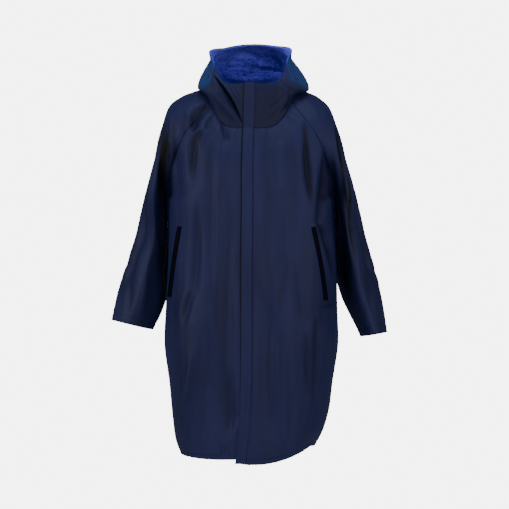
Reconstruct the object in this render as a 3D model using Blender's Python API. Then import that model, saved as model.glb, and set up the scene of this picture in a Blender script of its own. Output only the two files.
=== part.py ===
"""A hooded changing robe, zipped to the chin and filled out as if worn, with nobody in it.

Metres, +Z up, the front faces -Y. The origin lies between the shoulders, at the height where the
shoulder line meets the neck. The wearer's left side is at +X. Every piece of cloth is a thin wall
around a middle surface that is worked out below from sections of the garment.
"""

import math
from collections import namedtuple

import bmesh
import bpy
import numpy as np

# ---------------------------------------------------------------- driving dimensions

SHELL = 0.0025          # body and sleeve cloth with its lining, sewn as one wall
HOOD_SHELL = 0.0018     # hood cloth alone
HOOD_PILE = 0.0020      # fleece inside the hood
LINING_SHARE = 0.55     # how much of the hood's last row the fleece covers, above the neck seam
LINING_ROUNDS = 2       # how often its sharpest bends are rounded off
LINING_BACK = 0.0060    # how far the fleece stops from the zip's middle
SEAM_GAP = 0.0003       # between pieces that meet at a seam
FLAP_WIDTH = 0.031      # storm flap over the front zip
FLAP_THICK = 0.0020
ZIP_SLOT = 0.0080       # between the two front edges, filled by the zip
ZIP_THICK = 0.0020
POCKET_WIDTH = 0.012    # closed zip that shows as a dark strip
POCKET_THICK = 0.0016
POCKET_GAP = 0.0010     # enough to clear the panel where it curves
MITRE = 40              # degrees by which a seam's edge may lean towards its neighbour
SHARPEST = 76           # degrees from a seam's middle line to the sharpest edge allowed for
UNDERARM_EASE = 0.002   # how far the sleeve stands off where all four panels meet
FLAT_EDGE = (0.022, 0.045)  # from the front edge, where folds start to show and where they are full
SIDE_FOLLOW = 0.10      # how far a fold may reach round the side, as a share of the normal
CLEFT_FRONT = 0.30      # how far the front and back open away from the fold at the raglan seam
CLEFT_SLEEVE = 0.45     # the same for the sleeve

FRONT_COLUMNS = 12
BACK_COLUMNS = 20
SLEEVE_COLUMNS = 16
YOKE_STEPS = 2          # rows between two yoke stations
HOOD_ROWS = 8

# ---------------------------------------------------------------- sections

# Yoke, from the neck seam to the underarm, on the wearer's left. Each row is one ring round the
# neck; the raglan seams run down the "front_seam" and "back_seam" columns and meet at the underarm.
# "pinch" says how sharply the cloth turns in at those seams, "right_out" how much further out the
# right shoulder lies.
Ring = namedtuple(
    "Ring",
    "front_mid front_chest front_seam sleeve_front shoulder sleeve_back back_seam back_blade back_mid"
    " pinch right_out",
)
YOKE = (
    Ring((-0.006, -0.108, -0.134), (0.076, -0.093, -0.130), (0.124, -0.050, -0.050),
         (0.122, -0.026, -0.026), (0.112, 0.008, -0.006), (0.100, 0.045, -0.002),
         (0.078, 0.074, -0.002), (0.042, 0.092, 0.002), (0.0, 0.098, 0.003), 0.0, 0.0),
    Ring((-0.008, -0.128, -0.172), (0.098, -0.116, -0.160), (0.152, -0.084, -0.088),
         (0.172, -0.052, -0.046), (0.175, 0.006, -0.020), (0.164, 0.062, -0.030),
         (0.134, 0.106, -0.054), (0.072, 0.124, -0.056), (0.0, 0.128, -0.052), 0.0, 0.003),
    Ring((-0.009, -0.146, -0.216), (0.122, -0.136, -0.200), (0.186, -0.106, -0.130),
         (0.224, -0.070, -0.086), (0.234, 0.008, -0.060), (0.218, 0.086, -0.082),
         (0.182, 0.124, -0.116), (0.104, 0.145, -0.118), (0.0, 0.146, -0.114), 0.10, 0.010),
    Ring((-0.010, -0.157, -0.258), (0.150, -0.142, -0.246), (0.216, -0.098, -0.190),
         (0.252, -0.086, -0.146), (0.262, 0.010, -0.128), (0.246, 0.100, -0.148),
         (0.212, 0.120, -0.182), (0.134, 0.150, -0.184), (0.0, 0.154, -0.182), 0.45, 0.006),
    Ring((-0.010, -0.164, -0.300), (0.176, -0.138, -0.296), (0.242, -0.062, -0.262),
         (0.274, -0.094, -0.232), (0.289, 0.012, -0.226), (0.272, 0.110, -0.236),
         (0.242, 0.090, -0.262), (0.166, 0.142, -0.262), (0.0, 0.156, -0.262), 0.85, 0.002),
    Ring((-0.010, -0.168, -0.342), (0.194, -0.130, -0.342), (0.257, 0.014, -0.342),
         (0.296, -0.086, -0.336), (0.317, 0.014, -0.334), (0.296, 0.114, -0.336),
         (0.257, 0.014, -0.342), (0.190, 0.122, -0.342), (0.0, 0.154, -0.342), 1.0, 0.0),
)

# Body below the underarm. "right" and "left" are the wearer's; "side" is where the side seam lies
# front to back, "mid" the sideways place of the front edge.
Section = namedtuple("Section", "z right left front back side mid rows")
BODY = (
    Section(-0.440, 0.250, 0.256, 0.173, 0.158, -0.006, -0.011, 3),
    Section(-0.560, 0.251, 0.260, 0.177, 0.163, -0.014, -0.012, 3),
    Section(-0.680, 0.257, 0.263, 0.180, 0.167, -0.015, -0.012, 3),
    Section(-0.780, 0.261, 0.266, 0.181, 0.169, -0.012, -0.012, 3),
    Section(-0.900, 0.246, 0.249, 0.179, 0.168, -0.010, -0.013, 3),
    Section(-1.020, 0.234, 0.233, 0.173, 0.163, -0.008, -0.019, 3),
    Section(-1.080, 0.225, 0.216, 0.168, 0.157, -0.008, -0.026, 2),
    Section(-1.122, 0.209, 0.194, 0.162, 0.150, -0.008, -0.031, 2),
)
CORNER = 0.757          # how full a section is between its front and its side
HEM_START = -0.900      # below this the hem's own line shapes the cloth
HEM_END = BODY[-1].z
# How much higher the hem is than its nominal height, at named places round the robe.
HEM_LIFT = {"right_edge": 0.005, "left_edge": -0.018, "right_side": 0.006, "left_side": 0.028, "back": 0.008}

# Sleeves below the underarm, as closed rings. "inner" and "outer" are how far out the side next to
# the body and the outer side lie, "deep" the half width front to back, "seam_y" the place of the
# underarm seam, "tilt" the ring's slope in degrees.
Cuff = namedtuple("Cuff", "inner outer y z deep seam_y tilt rows")
SLEEVE_RIGHT = (
    Cuff(0.2550, 0.3470, 0.026, -0.445, 0.098, 0.074, 3, 3),
    Cuff(0.2600, 0.3770, 0.022, -0.545, 0.093, 0.070, 7, 3),
    Cuff(0.2650, 0.4045, 0.012, -0.640, 0.080, 0.048, 11, 3),
    Cuff(0.2780, 0.4160, 0.000, -0.690, 0.062, 0.020, 13, 2),
    Cuff(0.2975, 0.4230, -0.008, -0.728, 0.047, 0.005, 13, 2),
)
SLEEVE_LEFT = (
    Cuff(0.2600, 0.3450, 0.026, -0.445, 0.098, 0.074, 3, 3),
    Cuff(0.2670, 0.3740, 0.024, -0.545, 0.094, 0.066, 6, 3),
    Cuff(0.2810, 0.3970, 0.018, -0.640, 0.084, 0.044, 8, 3),
    Cuff(0.3090, 0.4080, 0.010, -0.700, 0.072, 0.026, 9, 2),
    Cuff(0.3360, 0.4160, 0.004, -0.757, 0.062, 0.010, 9, 2),
)

# Hood and stand collar, from the neck seam up to the rim, on the wearer's left. Each row is one
# line round the neck. At the sides the slack cloth hangs out over the shoulder. "right_in" and
# "right_up" say how the right side differs.
Hood = namedtuple("Hood", "front_mid front_corner cheek jowl side nape_side nape right_in right_up")
HOOD = (
    Hood((-0.005, -0.113, -0.098), (0.080, -0.100, -0.096), (0.130, -0.066, -0.032),
         (0.140, -0.034, -0.006), (0.140, 0.010, 0.006), (0.114, 0.104, 0.010), (0.0, 0.146, 0.012),
         0.006, 0.000),
    Hood((-0.004, -0.114, -0.062), (0.083, -0.101, -0.062), (0.136, -0.076, -0.008),
         (0.167, -0.042, -0.001), (0.1755, 0.006, -0.004), (0.152, 0.116, 0.028), (0.0, 0.184, 0.042),
         0.018, 0.003),
    Hood((-0.003, -0.110, -0.028), (0.080, -0.097, -0.028), (0.120, -0.076, 0.014),
         (0.138, -0.052, 0.036), (0.143, -0.006, 0.050), (0.138, 0.070, 0.088), (0.006, 0.128, 0.108),
         0.006, 0.000),
    Hood((-0.002, -0.104, 0.005), (0.075, -0.089, 0.006), (0.102, -0.070, 0.038),
         (0.112, -0.060, 0.074), (0.125, -0.040, 0.109), (0.074, -0.030, 0.120), (0.015, -0.022, 0.125),
         0.000, -0.006),
)

# ---------------------------------------------------------------- folds

# The largest folds. A path runs through three places, seen from the front as (x, z); "width" is
# the half width of a trough or ridge and "depth" is positive for a ridge. "face" is the side of
# the robe that has it: -1 front, 1 back.
Fold = namedtuple("Fold", "face start middle end width depth")
FOLDS = (
    Fold(-1, (-0.118, -0.070), (-0.168, -0.110), (-0.176, -0.160), 0.018, -0.008),
    Fold(-1, (-0.150, -0.150), (-0.172, -0.230), (-0.176, -0.330), 0.024, -0.009),
    Fold(-1, (-0.225, -0.180), (-0.222, -0.260), (-0.220, -0.360), 0.020, -0.008),
    Fold(-1, (-0.160, -0.360), (-0.170, -0.560), (-0.180, -0.720), 0.030, -0.010),
    Fold(-1, (-0.080, -0.400), (-0.090, -0.800), (-0.082, -1.100), 0.044, -0.013),
    Fold(-1, (-0.185, -0.780), (-0.200, -0.960), (-0.210, -1.090), 0.026, 0.007),
    Fold(-1, (-0.040, -0.860), (-0.052, -1.000), (-0.058, -1.140), 0.026, -0.014),
    Fold(-1, (0.165, -0.110), (0.172, -0.240), (0.180, -0.400), 0.026, -0.012),
    Fold(-1, (0.222, -0.220), (0.216, -0.320), (0.212, -0.430), 0.022, -0.010),
    Fold(-1, (0.070, -0.260), (0.076, -0.480), (0.082, -0.640), 0.034, -0.008),
    Fold(-1, (0.048, -0.600), (0.052, -0.860), (0.058, -1.120), 0.030, -0.010),
    Fold(-1, (0.160, -0.640), (0.168, -0.860), (0.178, -1.040), 0.032, -0.009),
    Fold(-1, (0.110, -0.640), (0.112, -0.860), (0.112, -1.100), 0.030, 0.007),
    Fold(1, (0.0, -0.080), (0.010, -0.480), (0.004, -1.100), 0.040, -0.011),
    Fold(1, (-0.090, -0.150), (-0.100, -0.560), (-0.112, -1.090), 0.044, -0.012),
    Fold(1, (0.090, -0.160), (0.098, -0.600), (0.106, -1.090), 0.042, -0.012),
    Fold(1, (-0.182, -0.240), (-0.190, -0.600), (-0.186, -1.060), 0.030, -0.010),
    Fold(1, (0.184, -0.230), (0.188, -0.560), (0.184, -1.040), 0.030, -0.010),
    Fold(1, (-0.046, -0.420), (-0.052, -0.760), (-0.058, -1.120), 0.026, 0.007),
    Fold(1, (0.050, -0.380), (0.052, -0.740), (0.056, -1.120), 0.026, 0.007),
    # the collar's deep crease on the wearer's right, the roll beside it, and the softer left side
    Fold(-1, (-0.092, 0.014), (-0.060, -0.048), (-0.026, -0.112), 0.013, -0.009),
    Fold(-1, (-0.122, -0.024), (-0.088, -0.070), (-0.048, -0.118), 0.018, 0.007),
    Fold(-1, (0.104, -0.014), (0.080, -0.056), (0.044, -0.098), 0.020, -0.006),
    # the sleeve's own long folds, hanging from the shoulder tip
    Fold(-1, (0.288, -0.200), (0.306, -0.320), (0.322, -0.460), 0.018, -0.008),
    Fold(-1, (-0.300, -0.380), (-0.318, -0.480), (-0.332, -0.600), 0.024, -0.007),
    Fold(1, (0.270, -0.180), (0.300, -0.340), (0.330, -0.560), 0.026, -0.008),
    Fold(1, (-0.270, -0.180), (-0.300, -0.340), (-0.330, -0.560), 0.026, -0.008),
)

# Pocket openings, from the top down the front, as (x, z) seen from the front.
POCKETS = {
    "pocket_zip_right": ((-0.212, -0.429), (-0.229, -0.531), (-0.2435, -0.642)),
    "pocket_zip_left": ((0.188, -0.431), (0.211, -0.543), (0.226, -0.652)),
}
POCKET_STEPS = 12

FABRIC = {
    "shell": ((0.013, 0.024, 0.075, 1.0), 0.42),
    "fleece": ((0.012, 0.040, 0.330, 1.0), 0.95),
    "trim": ((0.004, 0.004, 0.010, 1.0), 0.45),
}


# ---------------------------------------------------------------- curves and surfaces


def spline(points, at, start=None, end=None):
    """Points on the smooth curve through the given ones; 1.5 lies halfway from the second to the third."""
    points = np.asarray(points, float)
    chord = np.maximum(np.linalg.norm(np.diff(points, axis=0), axis=-1, keepdims=True), 1e-6)
    slope = np.diff(points, axis=0) / chord
    tangent = np.empty_like(points)
    tangent[1:-1] = (slope[:-1] * chord[1:] + slope[1:] * chord[:-1]) / (chord[:-1] + chord[1:])
    tangent[0] = 1.5 * slope[0] - 0.5 * tangent[1] if start is None else start
    tangent[-1] = 1.5 * slope[-1] - 0.5 * tangent[-2] if end is None else end
    at = np.asarray(at, float)
    low = np.clip(np.floor(at).astype(int), 0, len(points) - 2)
    t = (at - low).reshape((-1,) + (1,) * (points.ndim - 1))
    h = chord[low]
    return (
        (1 + 2 * t) * (1 - t) ** 2 * points[low]
        + t * (1 - t) ** 2 * h * tangent[low]
        + t * t * (3 - 2 * t) * points[low + 1]
        + t * t * (t - 1) * h * tangent[low + 1]
    )


def across(rows, at, start, end):
    """A grid of points: each row's curve through its own columns, with given end directions."""
    return spline(rows.swapaxes(0, 1), at, start, end).swapaxes(0, 1)


def unit(v):
    v = np.asarray(v, float)
    return v / np.maximum(np.linalg.norm(v, axis=-1, keepdims=True), 1e-9)


def smooth_step(low, high, value):
    t = np.clip((value - low) / (high - low), 0, 1)
    return t * t * (3 - 2 * t)


def mirrored(points):
    return np.asarray(points, float) * (-1, 1, 1)


def row_places(counts):
    """Where the rows lie along the stations, with the given number of steps in each interval."""
    return np.concatenate([[0.0], *(i + np.arange(1, n + 1) / n for i, n in enumerate(counts))])


# ---------------------------------------------------------------- the robe's own net of points

YOKE_ROWS = row_places([YOKE_STEPS] * (len(YOKE) - 1))
BODY_ROWS = row_places([YOKE_STEPS] * (len(YOKE) - 1) + [s.rows for s in BODY])
UNDERARM_ROW = YOKE_STEPS * (len(YOKE) - 1)


def yoke_column(name, side):
    """One column of the yoke; the front middle isn't mirrored, because both fronts share it."""
    points = np.array([getattr(ring, name) for ring in YOKE], float)
    if side > 0 or name == "front_mid":
        return points
    if name in ("sleeve_front", "shoulder", "sleeve_back"):
        points[:, 0] += [ring.right_out for ring in YOKE]
    return mirrored(points)


def body_column(name, side):
    """The same column below the underarm, from the body sections."""
    found = []
    for s in BODY:
        half = s.left if side > 0 else s.right
        found.append({
            "front_mid": (s.mid, -s.front, s.z),
            "front_chest": (side * CORNER * half, s.side + CORNER * (-s.front - s.side), s.z),
            "front_seam": (side * half, s.side, s.z),
            "back_seam": (side * half, s.side, s.z),
            "back_blade": (side * CORNER * half, s.side + CORNER * (s.back - s.side), s.z),
            "back_mid": (0.0, s.back, s.z),
        }[name])
    return np.array(found, float)


def down(name, side, lower, places):
    """A column's rows. Seam columns turn at the underarm; the others run on smoothly."""
    upper = yoke_column(name, side)
    if not name.endswith("seam"):
        return spline(np.concatenate([upper, lower]), places)
    last = len(YOKE) - 1
    return np.concatenate([
        spline(upper, places[:UNDERARM_ROW + 1]),
        spline(np.concatenate([upper[-1:], lower]), places[UNDERARM_ROW + 1:] - last),
    ])


def torso_net(names):
    """Rows by columns, for (column, side) pairs, from the neck down to the hem."""
    return np.stack([down(n, s, body_column(n, s), BODY_ROWS) for n, s in names], axis=1)


def pinch_at(rows):
    """How sharply the cloth turns in at the raglan seam, row by row."""
    values = np.array([[ring.pinch] for ring in YOKE] + [[1.0]] * len(BODY))
    return np.interp(rows, np.arange(len(values)), values[:, 0])[:, None]


def seam_direction(before, seam, after, fold, pinch):
    """The direction in which a row crosses a seam: straight over it, or turned into the fold."""
    over = unit(unit(seam - before) + unit(after - seam))
    return unit((1 - pinch) * over + pinch * unit(fold))


def fold_lines(count, x, y, below):
    """The direction of the fold at the seam, row by row: (x, y) above the underarm, "below" under it."""
    lines = np.zeros((count, 3))
    lines[:, 1] = y
    lines[:, 0] = np.where(np.arange(count) < UNDERARM_ROW, x, below)
    lines[UNDERARM_ROW, 0] = (x + below) / 2
    return lines


def seam_neighbours(side):
    """Rows of the columns on each side of the raglan seams, down to the underarm and past it."""
    sleeve = {
        name: spline(yoke_column(name, side), YOKE_ROWS) for name in ("sleeve_front", "sleeve_back")
    }
    extra = len(BODY_ROWS) - len(YOKE_ROWS)
    return {name: np.concatenate([p, np.repeat(p[-1:], extra, axis=0)]) for name, p in sleeve.items()}


def front_panel(side):
    """Half of the front, from its zip edge to its raglan and side seam."""
    rows = torso_net([("front_mid", side), ("front_chest", side), ("front_seam", side)])
    over = seam_neighbours(side)["sleeve_front"]
    pinch = pinch_at(BODY_ROWS)
    turn = fold_lines(len(rows), side * CLEFT_FRONT, 1, 0)
    end = seam_direction(rows[:, 1], rows[:, 2], over, turn, pinch)
    start = np.tile((side, 0.0, 0.0), (len(rows), 1))
    grid = across(rows, np.linspace(0, 2, FRONT_COLUMNS + 1), start, end)
    return grid if side > 0 else grid[:, ::-1]


def back_panel():
    """The whole back, from the wearer's left side seam to the right one."""
    names = [("back_seam", 1), ("back_blade", 1), ("back_mid", 1), ("back_blade", -1), ("back_seam", -1)]
    rows = torso_net(names)
    pinch = pinch_at(BODY_ROWS)
    ends = []
    for side, seam, blade in ((1, rows[:, 0], rows[:, 1]), (-1, rows[:, 4], rows[:, 3])):
        over = seam_neighbours(side)["sleeve_back"]
        turn = fold_lines(len(rows), -side * CLEFT_FRONT, 1, 0)
        ends.append(seam_direction(over, seam, blade, turn, pinch))
    return across(rows, np.linspace(0, 4, BACK_COLUMNS + 1), ends[0], -ends[1])


def cuff_point(cuff, side, name):
    """A point of a tilted sleeve ring: at its underarm seam, front, outer side or back."""
    tilt = math.radians(cuff.tilt)
    half = (cuff.outer - cuff.inner) / 2
    out, y = {
        "sleeve_front": (0.0, cuff.y - cuff.deep), "shoulder": (half, cuff.y),
        "sleeve_back": (0.0, cuff.y + cuff.deep),
    }.get(name, (-half, cuff.seam_y))
    x = (cuff.outer + cuff.inner) / 2 + out * math.cos(tilt)
    return (side * x, y, cuff.z + out * math.sin(tilt))


def sleeve_panel(side):
    """A raglan sleeve, open above the underarm, where it runs up to the neck, and a tube below."""
    table = SLEEVE_LEFT if side > 0 else SLEEVE_RIGHT
    places = row_places([YOKE_STEPS] * (len(YOKE) - 1) + [cuff.rows for cuff in table])
    rows = np.stack([
        down(name, side, np.array([cuff_point(cuff, side, name) for cuff in table]), places)
        for name in ("front_seam", "sleeve_front", "shoulder", "sleeve_back", "back_seam")
    ], axis=1)
    extra = len(rows) - len(YOKE_ROWS)
    pinch = np.concatenate([pinch_at(YOKE_ROWS), np.ones((extra, 1))])
    chest = spline(yoke_column("front_chest", side), YOKE_ROWS)
    blade = spline(yoke_column("back_blade", side), YOKE_ROWS)
    chest, blade = (np.concatenate([p, np.repeat(p[-1:], extra, axis=0)]) for p in (chest, blade))
    into = fold_lines(len(rows), side * CLEFT_SLEEVE, -1, side * 0.25)
    out_of = fold_lines(len(rows), -side * CLEFT_SLEEVE, -1, 0)
    start = seam_direction(chest, rows[:, 0], rows[:, 1], into, pinch)
    end = seam_direction(rows[:, 3], rows[:, 4], blade, out_of, pinch)
    grid = across(rows, np.linspace(0, 4, SLEEVE_COLUMNS + 1), start, end)
    grid[UNDERARM_ROW:, -1] = grid[UNDERARM_ROW:, 0]
    return grid if side > 0 else grid[:, ::-1]


def hood_panel(neck):
    """The hood and collar, from the front edge on the wearer's left round the nape to the right."""
    names = Hood._fields[:7]
    left = [np.array([getattr(h, name) for h in HOOD], float) for name in names]
    right = []
    for name, column in zip(names, left):
        column = column.copy()
        if name in ("jowl", "side", "nape_side"):
            column[:, 0] -= [h.right_in for h in HOOD]
            column[:, 2] += [h.right_up for h in HOOD]
        right.append(column if name == "front_mid" else mirrored(column))
    columns = np.stack(left + right[-2::-1], axis=1)
    # The hood's columns stand at these places along the neck ring.
    knots = (0, 1, 2, 2.6, 3.4, 4, 6, 8, 8.6, 9.4, 10, 11, 12)
    spread = np.interp(neck_places(), knots, np.arange(len(knots)))
    side_x = np.tile((1.0, 0.0, 0.0), (len(HOOD), 1))
    rows = np.concatenate([neck[None], across(columns, spread, side_x, side_x)])
    return spline(rows, np.linspace(0, len(HOOD), HOOD_ROWS + 1))


def neck_places():
    """Each neck point's place: 0 to 2 the left front, 2 to 4 the sleeve, 4 to 8 the back, and so on."""
    front = np.linspace(0, 2, FRONT_COLUMNS + 1)
    sleeve = np.linspace(2, 4, SLEEVE_COLUMNS + 1)[1:]
    back = np.linspace(4, 8, BACK_COLUMNS + 1)[1:]
    other = np.linspace(8, 10, SLEEVE_COLUMNS + 1)[1:]
    last = np.linspace(10, 12, FRONT_COLUMNS + 1)[1:]
    return np.concatenate([front, sleeve, back, other, last])


def shaped_hem(grid, edge):
    """The hem's own line: level at the back, lower at the front edges, higher at the left side."""
    x, y, z = grid[..., 0], grid[..., 1], grid[..., 2]
    low = smooth_step(HEM_START, HEM_END, z)
    reach = np.clip(np.abs(x - BODY[-1].mid) / 0.20, 0, 1)
    front = smooth_step(0.0, -0.10, y)
    edge = HEM_LIFT[edge]
    at_side = np.where(x > 0, HEM_LIFT["left_side"], HEM_LIFT["right_side"])
    ahead = edge + (at_side - edge) * reach ** 1.6
    behind = HEM_LIFT["back"] + (at_side - HEM_LIFT["back"]) * reach ** 3
    grid[..., 2] = z + low * (front * ahead + (1 - front) * behind)
    return grid


# ---------------------------------------------------------------- folds, normals and seams


def along_path(fold, x, z):
    """Each point's distance from a fold's path, and how far along it the nearest place is."""
    t = np.linspace(0, 1, 17)[:, None]
    a, b, c = (np.array(p) for p in (fold.start, fold.middle, fold.end))
    path = (1 - t) * (1 - 2 * t) * a + 4 * t * (1 - t) * b + t * (2 * t - 1) * c
    best = np.full(x.shape, np.inf)
    place = np.zeros(x.shape)
    for i in range(len(path) - 1):
        step = path[i + 1] - path[i]
        share = ((x - path[i, 0]) * step[0] + (z - path[i, 1]) * step[1]) / (step @ step)
        share = np.clip(share, 0, 1)
        away = np.hypot(x - path[i, 0] - share * step[0], z - path[i, 1] - share * step[1])
        nearer = away < best
        best = np.where(nearer, away, best)
        place = np.where(nearer, (i + share) / (len(path) - 1), place)
    return best, place


def fold_depth(points, normals):
    """How far each point moves along its normal for the folds of the side that it faces."""
    x, z = points[..., 0], points[..., 2]
    depth = np.zeros(x.shape)
    # The stiff double edge under the storm flap stays flat.
    mids = [(s.z, s.mid) for s in reversed(BODY)] + [(ring.front_mid[2], ring.front_mid[0]) for ring in YOKE[::-1]]
    centre = np.interp(z, [m[0] for m in mids], [m[1] for m in mids])
    flat = (1 - smooth_step(*FLAT_EDGE, np.abs(x - centre))) * smooth_step(0.0, 0.5, -normals[..., 1])
    for fold in FOLDS:
        away, place = along_path(fold, x, z)
        faces = smooth_step(SIDE_FOLLOW, 0.6, fold.face * normals[..., 1])
        ends = np.sin(np.pi * np.clip(place, 0, 1))
        depth += fold.depth * np.exp(-((away / fold.width) ** 2)) * ends * faces
    return depth * (1 - flat)


def welded_normals(grids):
    """A normal for each grid point, shared by all the pieces that meet there."""
    flat = {name: np.round(grid.reshape(-1, 3), 6) for name, grid in grids.items()}
    _, index = np.unique(np.concatenate(list(flat.values())), axis=0, return_inverse=True)
    index = index.reshape(-1)
    total = np.zeros((index.max() + 1, 3))
    ids, first = {}, 0
    for name, grid in grids.items():
        count = grid.shape[0] * grid.shape[1]
        ids[name] = index[first:first + count].reshape(grid.shape[:2])
        first += count
        diagonal_a = grid[1:, 1:] - grid[:-1, :-1]
        diagonal_b = grid[:-1, 1:] - grid[1:, :-1]
        face = np.cross(diagonal_a, diagonal_b)
        for corner in (ids[name][:-1, :-1], ids[name][1:, :-1], ids[name][:-1, 1:], ids[name][1:, 1:]):
            np.add.at(total, corner, face)
    total = unit(total)
    return {name: total[ids[name]] for name in grids}


def at_border(edge):
    """The index of a grid's edge and of the line next to it."""
    return {
        "top": (np.s_[0, :], np.s_[1, :]), "bottom": (np.s_[-1, :], np.s_[-2, :]),
        "first": (np.s_[:, 0], np.s_[:, 1]), "last": (np.s_[:, -1], np.s_[:, -2]),
    }[edge]


def fitted(grid, own, shared, neck_run, edges, thick):
    """A grid and its offsets, with every seam edge mitred and pulled back clear of its neighbour.

    An edge leans towards the seam's shared normal by no more than MITRE; where the pieces meet more
    sharply than that, the edge also moves back by as much as the wall's corner would overlap.
    """
    moved, out = grid.copy(), own.copy()
    for edge in edges:
        border, inner = at_border(edge)
        n, s = own[border], shared["top" if edge == "bottom" else edge][border]
        half = np.arccos(np.clip(np.sum(n * s, axis=-1, keepdims=True), -1, 1))
        half = np.minimum(half, math.radians(SHARPEST))
        lean = np.tan(np.minimum(half, math.radians(MITRE)))
        # Longer at a turn, so that the wall keeps its thickness.
        out[border] += lean * unit(s - n * np.sum(n * s, axis=-1, keepdims=True))
        back = SEAM_GAP / 2 / np.cos(half) + thick / 2 * (np.tan(half) - lean)
        run = neck_run if edge in ("top", "bottom") else unit(np.gradient(grid[border], axis=0))
        square = unit(np.cross(run, n))
        inward = np.sum(square * (grid[inner] - grid[border]), axis=-1, keepdims=True)
        moved[border] += back * np.sign(inward) * square
    return moved, out


def eased_in(grid, normals):
    """The grid with its sharpest bends rounded off, moving only away from what lies outside it."""
    for _ in range(LINING_ROUNDS):
        smooth = grid.copy()
        smooth[1:-1] = (grid[:-2] + 2 * grid[1:-1] + grid[2:]) / 4
        smooth[:, 1:-1] = (smooth[:, :-2] + 2 * smooth[:, 1:-1] + smooth[:, 2:]) / 4
        inward = np.sum((smooth - grid) * normals, axis=-1, keepdims=True) < 0
        grid = np.where(inward, smooth, grid)
    return grid


def cut_back(grid, edge, by):
    """The grid with one edge moved into the piece along its own rows."""
    border, inner = at_border(edge)
    moved = grid.copy()
    moved[border] += by * unit(grid[inner] - grid[border])
    return moved


# ---------------------------------------------------------------- solids


def material(name):
    found = bpy.data.materials.get(name)
    if found is None:
        found = bpy.data.materials.new(name)
        found.use_nodes = True
        colour, rough = FABRIC[name]
        shader = found.node_tree.nodes["Principled BSDF"]
        shader.inputs["Base Color"].default_value = colour
        shader.inputs["Roughness"].default_value = rough
        shader.inputs["Metallic"].default_value = 0.0
    return found


def wall(name, middle, normals, thick, cloth, tube_from=None):
    """A closed wall of even thickness around a grid. From row tube_from on, its sides are joined."""
    rows, columns = middle.shape[:2]
    build = bmesh.new()
    layers = []
    for shift in (thick / 2, -thick / 2):
        points = middle + normals * shift
        layer = [[build.verts.new(points[r, c]) for c in range(columns)] for r in range(rows)]
        layers.append(layer)
    if tube_from is not None:
        for layer in layers:
            for r in range(tube_from, rows):
                build.verts.remove(layer[r][-1])
                layer[r][-1] = layer[r][0]
    outer, inner = layers
    for r in range(rows - 1):
        for c in range(columns - 1):
            for layer, turn in ((outer, 1), (inner, -1)):
                a, b, d, e = layer[r][c], layer[r + 1][c], layer[r + 1][c + 1], layer[r][c + 1]
                build.faces.new((a, b, d)[::turn])
                build.faces.new((a, d, e)[::turn])
    # The rim: pieces that share a seam split its quads along the same diagonals.
    edges = [(outer[0], inner[0], 1), (outer[-1], inner[-1], -1)]
    last_open = rows if tube_from is None else tube_from + 1
    for c, turn in ((0, -1), (-1, 1)):
        edges.append(([outer[r][c] for r in range(last_open)], [inner[r][c] for r in range(last_open)], turn))
    for over, under, turn in edges:
        for k in range(len(over) - 1):
            build.faces.new((over[k], over[k + 1], under[k + 1])[::turn])
            build.faces.new((over[k], under[k + 1], under[k])[::turn])
    mesh = bpy.data.meshes.new(name)
    build.to_mesh(mesh)
    build.free()
    mesh.materials.append(material(cloth))
    piece = bpy.data.objects.new(name, mesh)
    bpy.context.scene.collection.objects.link(piece)
    mesh.shade_smooth()
    return piece


def along_row(row, distance):
    """The point that lies this far along a row of points, from its first one."""
    run = np.concatenate([[0.0], np.cumsum(np.linalg.norm(np.diff(row, axis=0), axis=1))])
    return np.array([np.interp(distance, run, row[:, k]) for k in range(3)])


def centre_strip(left, right, left_out, width, lift):
    """A strip's grid down the front edges, from the rows of the pieces on each side of them."""
    strip = []
    for to_left, to_right, out in zip(left, right, left_out[:, 0]):
        step = along_row(to_right, width / 2) - to_right[0]
        points = (to_left[0] + step, to_left[0], along_row(to_left, width / 2))
        strip.append([p + out * lift for p in points])
    strip = np.array(strip)
    return strip, welded_normals({"strip": strip})["strip"]


def strip_on(panel, normals, path, width, lift):
    """A strip's grid, lying on a panel along a path given as (x, z) seen from the front."""
    t = np.linspace(0, 2, POCKET_STEPS + 1)
    line = spline(np.array([(x, 0.0, z) for x, z in path]), t)
    along = unit(np.gradient(line, axis=0))
    square = unit(np.cross(along, (0, 1, 0)))
    found = [
        [on_panel(panel, normals, p) for p in line + square * width * offset]
        for offset in (-0.5, 0.0, 0.5)
    ]
    strip, out = (np.array([[pair[k] for pair in column] for column in found]) for k in (0, 1))
    strip, out = strip.swapaxes(0, 1), unit(out.swapaxes(0, 1))
    return strip + out * lift, out


def on_panel(panel, normals, wanted):
    """The panel's own point and normal where a look from the front meets it at (x, z)."""
    for r in range(panel.shape[0] - 1):
        for c in range(panel.shape[1] - 1):
            for corners in (((r, c), (r + 1, c), (r + 1, c + 1)), ((r, c), (r + 1, c + 1), (r, c + 1))):
                a, b, d = (panel[i] for i in corners)
                area = (b[0] - a[0]) * (d[2] - a[2]) - (d[0] - a[0]) * (b[2] - a[2])
                if abs(area) < 1e-12:
                    continue
                s = ((wanted[0] - a[0]) * (d[2] - a[2]) - (d[0] - a[0]) * (wanted[2] - a[2])) / area
                t = ((b[0] - a[0]) * (wanted[2] - a[2]) - (wanted[0] - a[0]) * (b[2] - a[2])) / area
                if s >= -1e-9 and t >= -1e-9 and s + t <= 1 + 1e-9:
                    share = np.array((1 - s - t, s, t))
                    return (
                        share @ np.array([a, b, d]),
                        share @ np.array([normals[i] for i in corners]),
                    )
    raise ValueError(f"no part of the panel lies at {wanted}")


# ---------------------------------------------------------------- the robe


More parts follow.
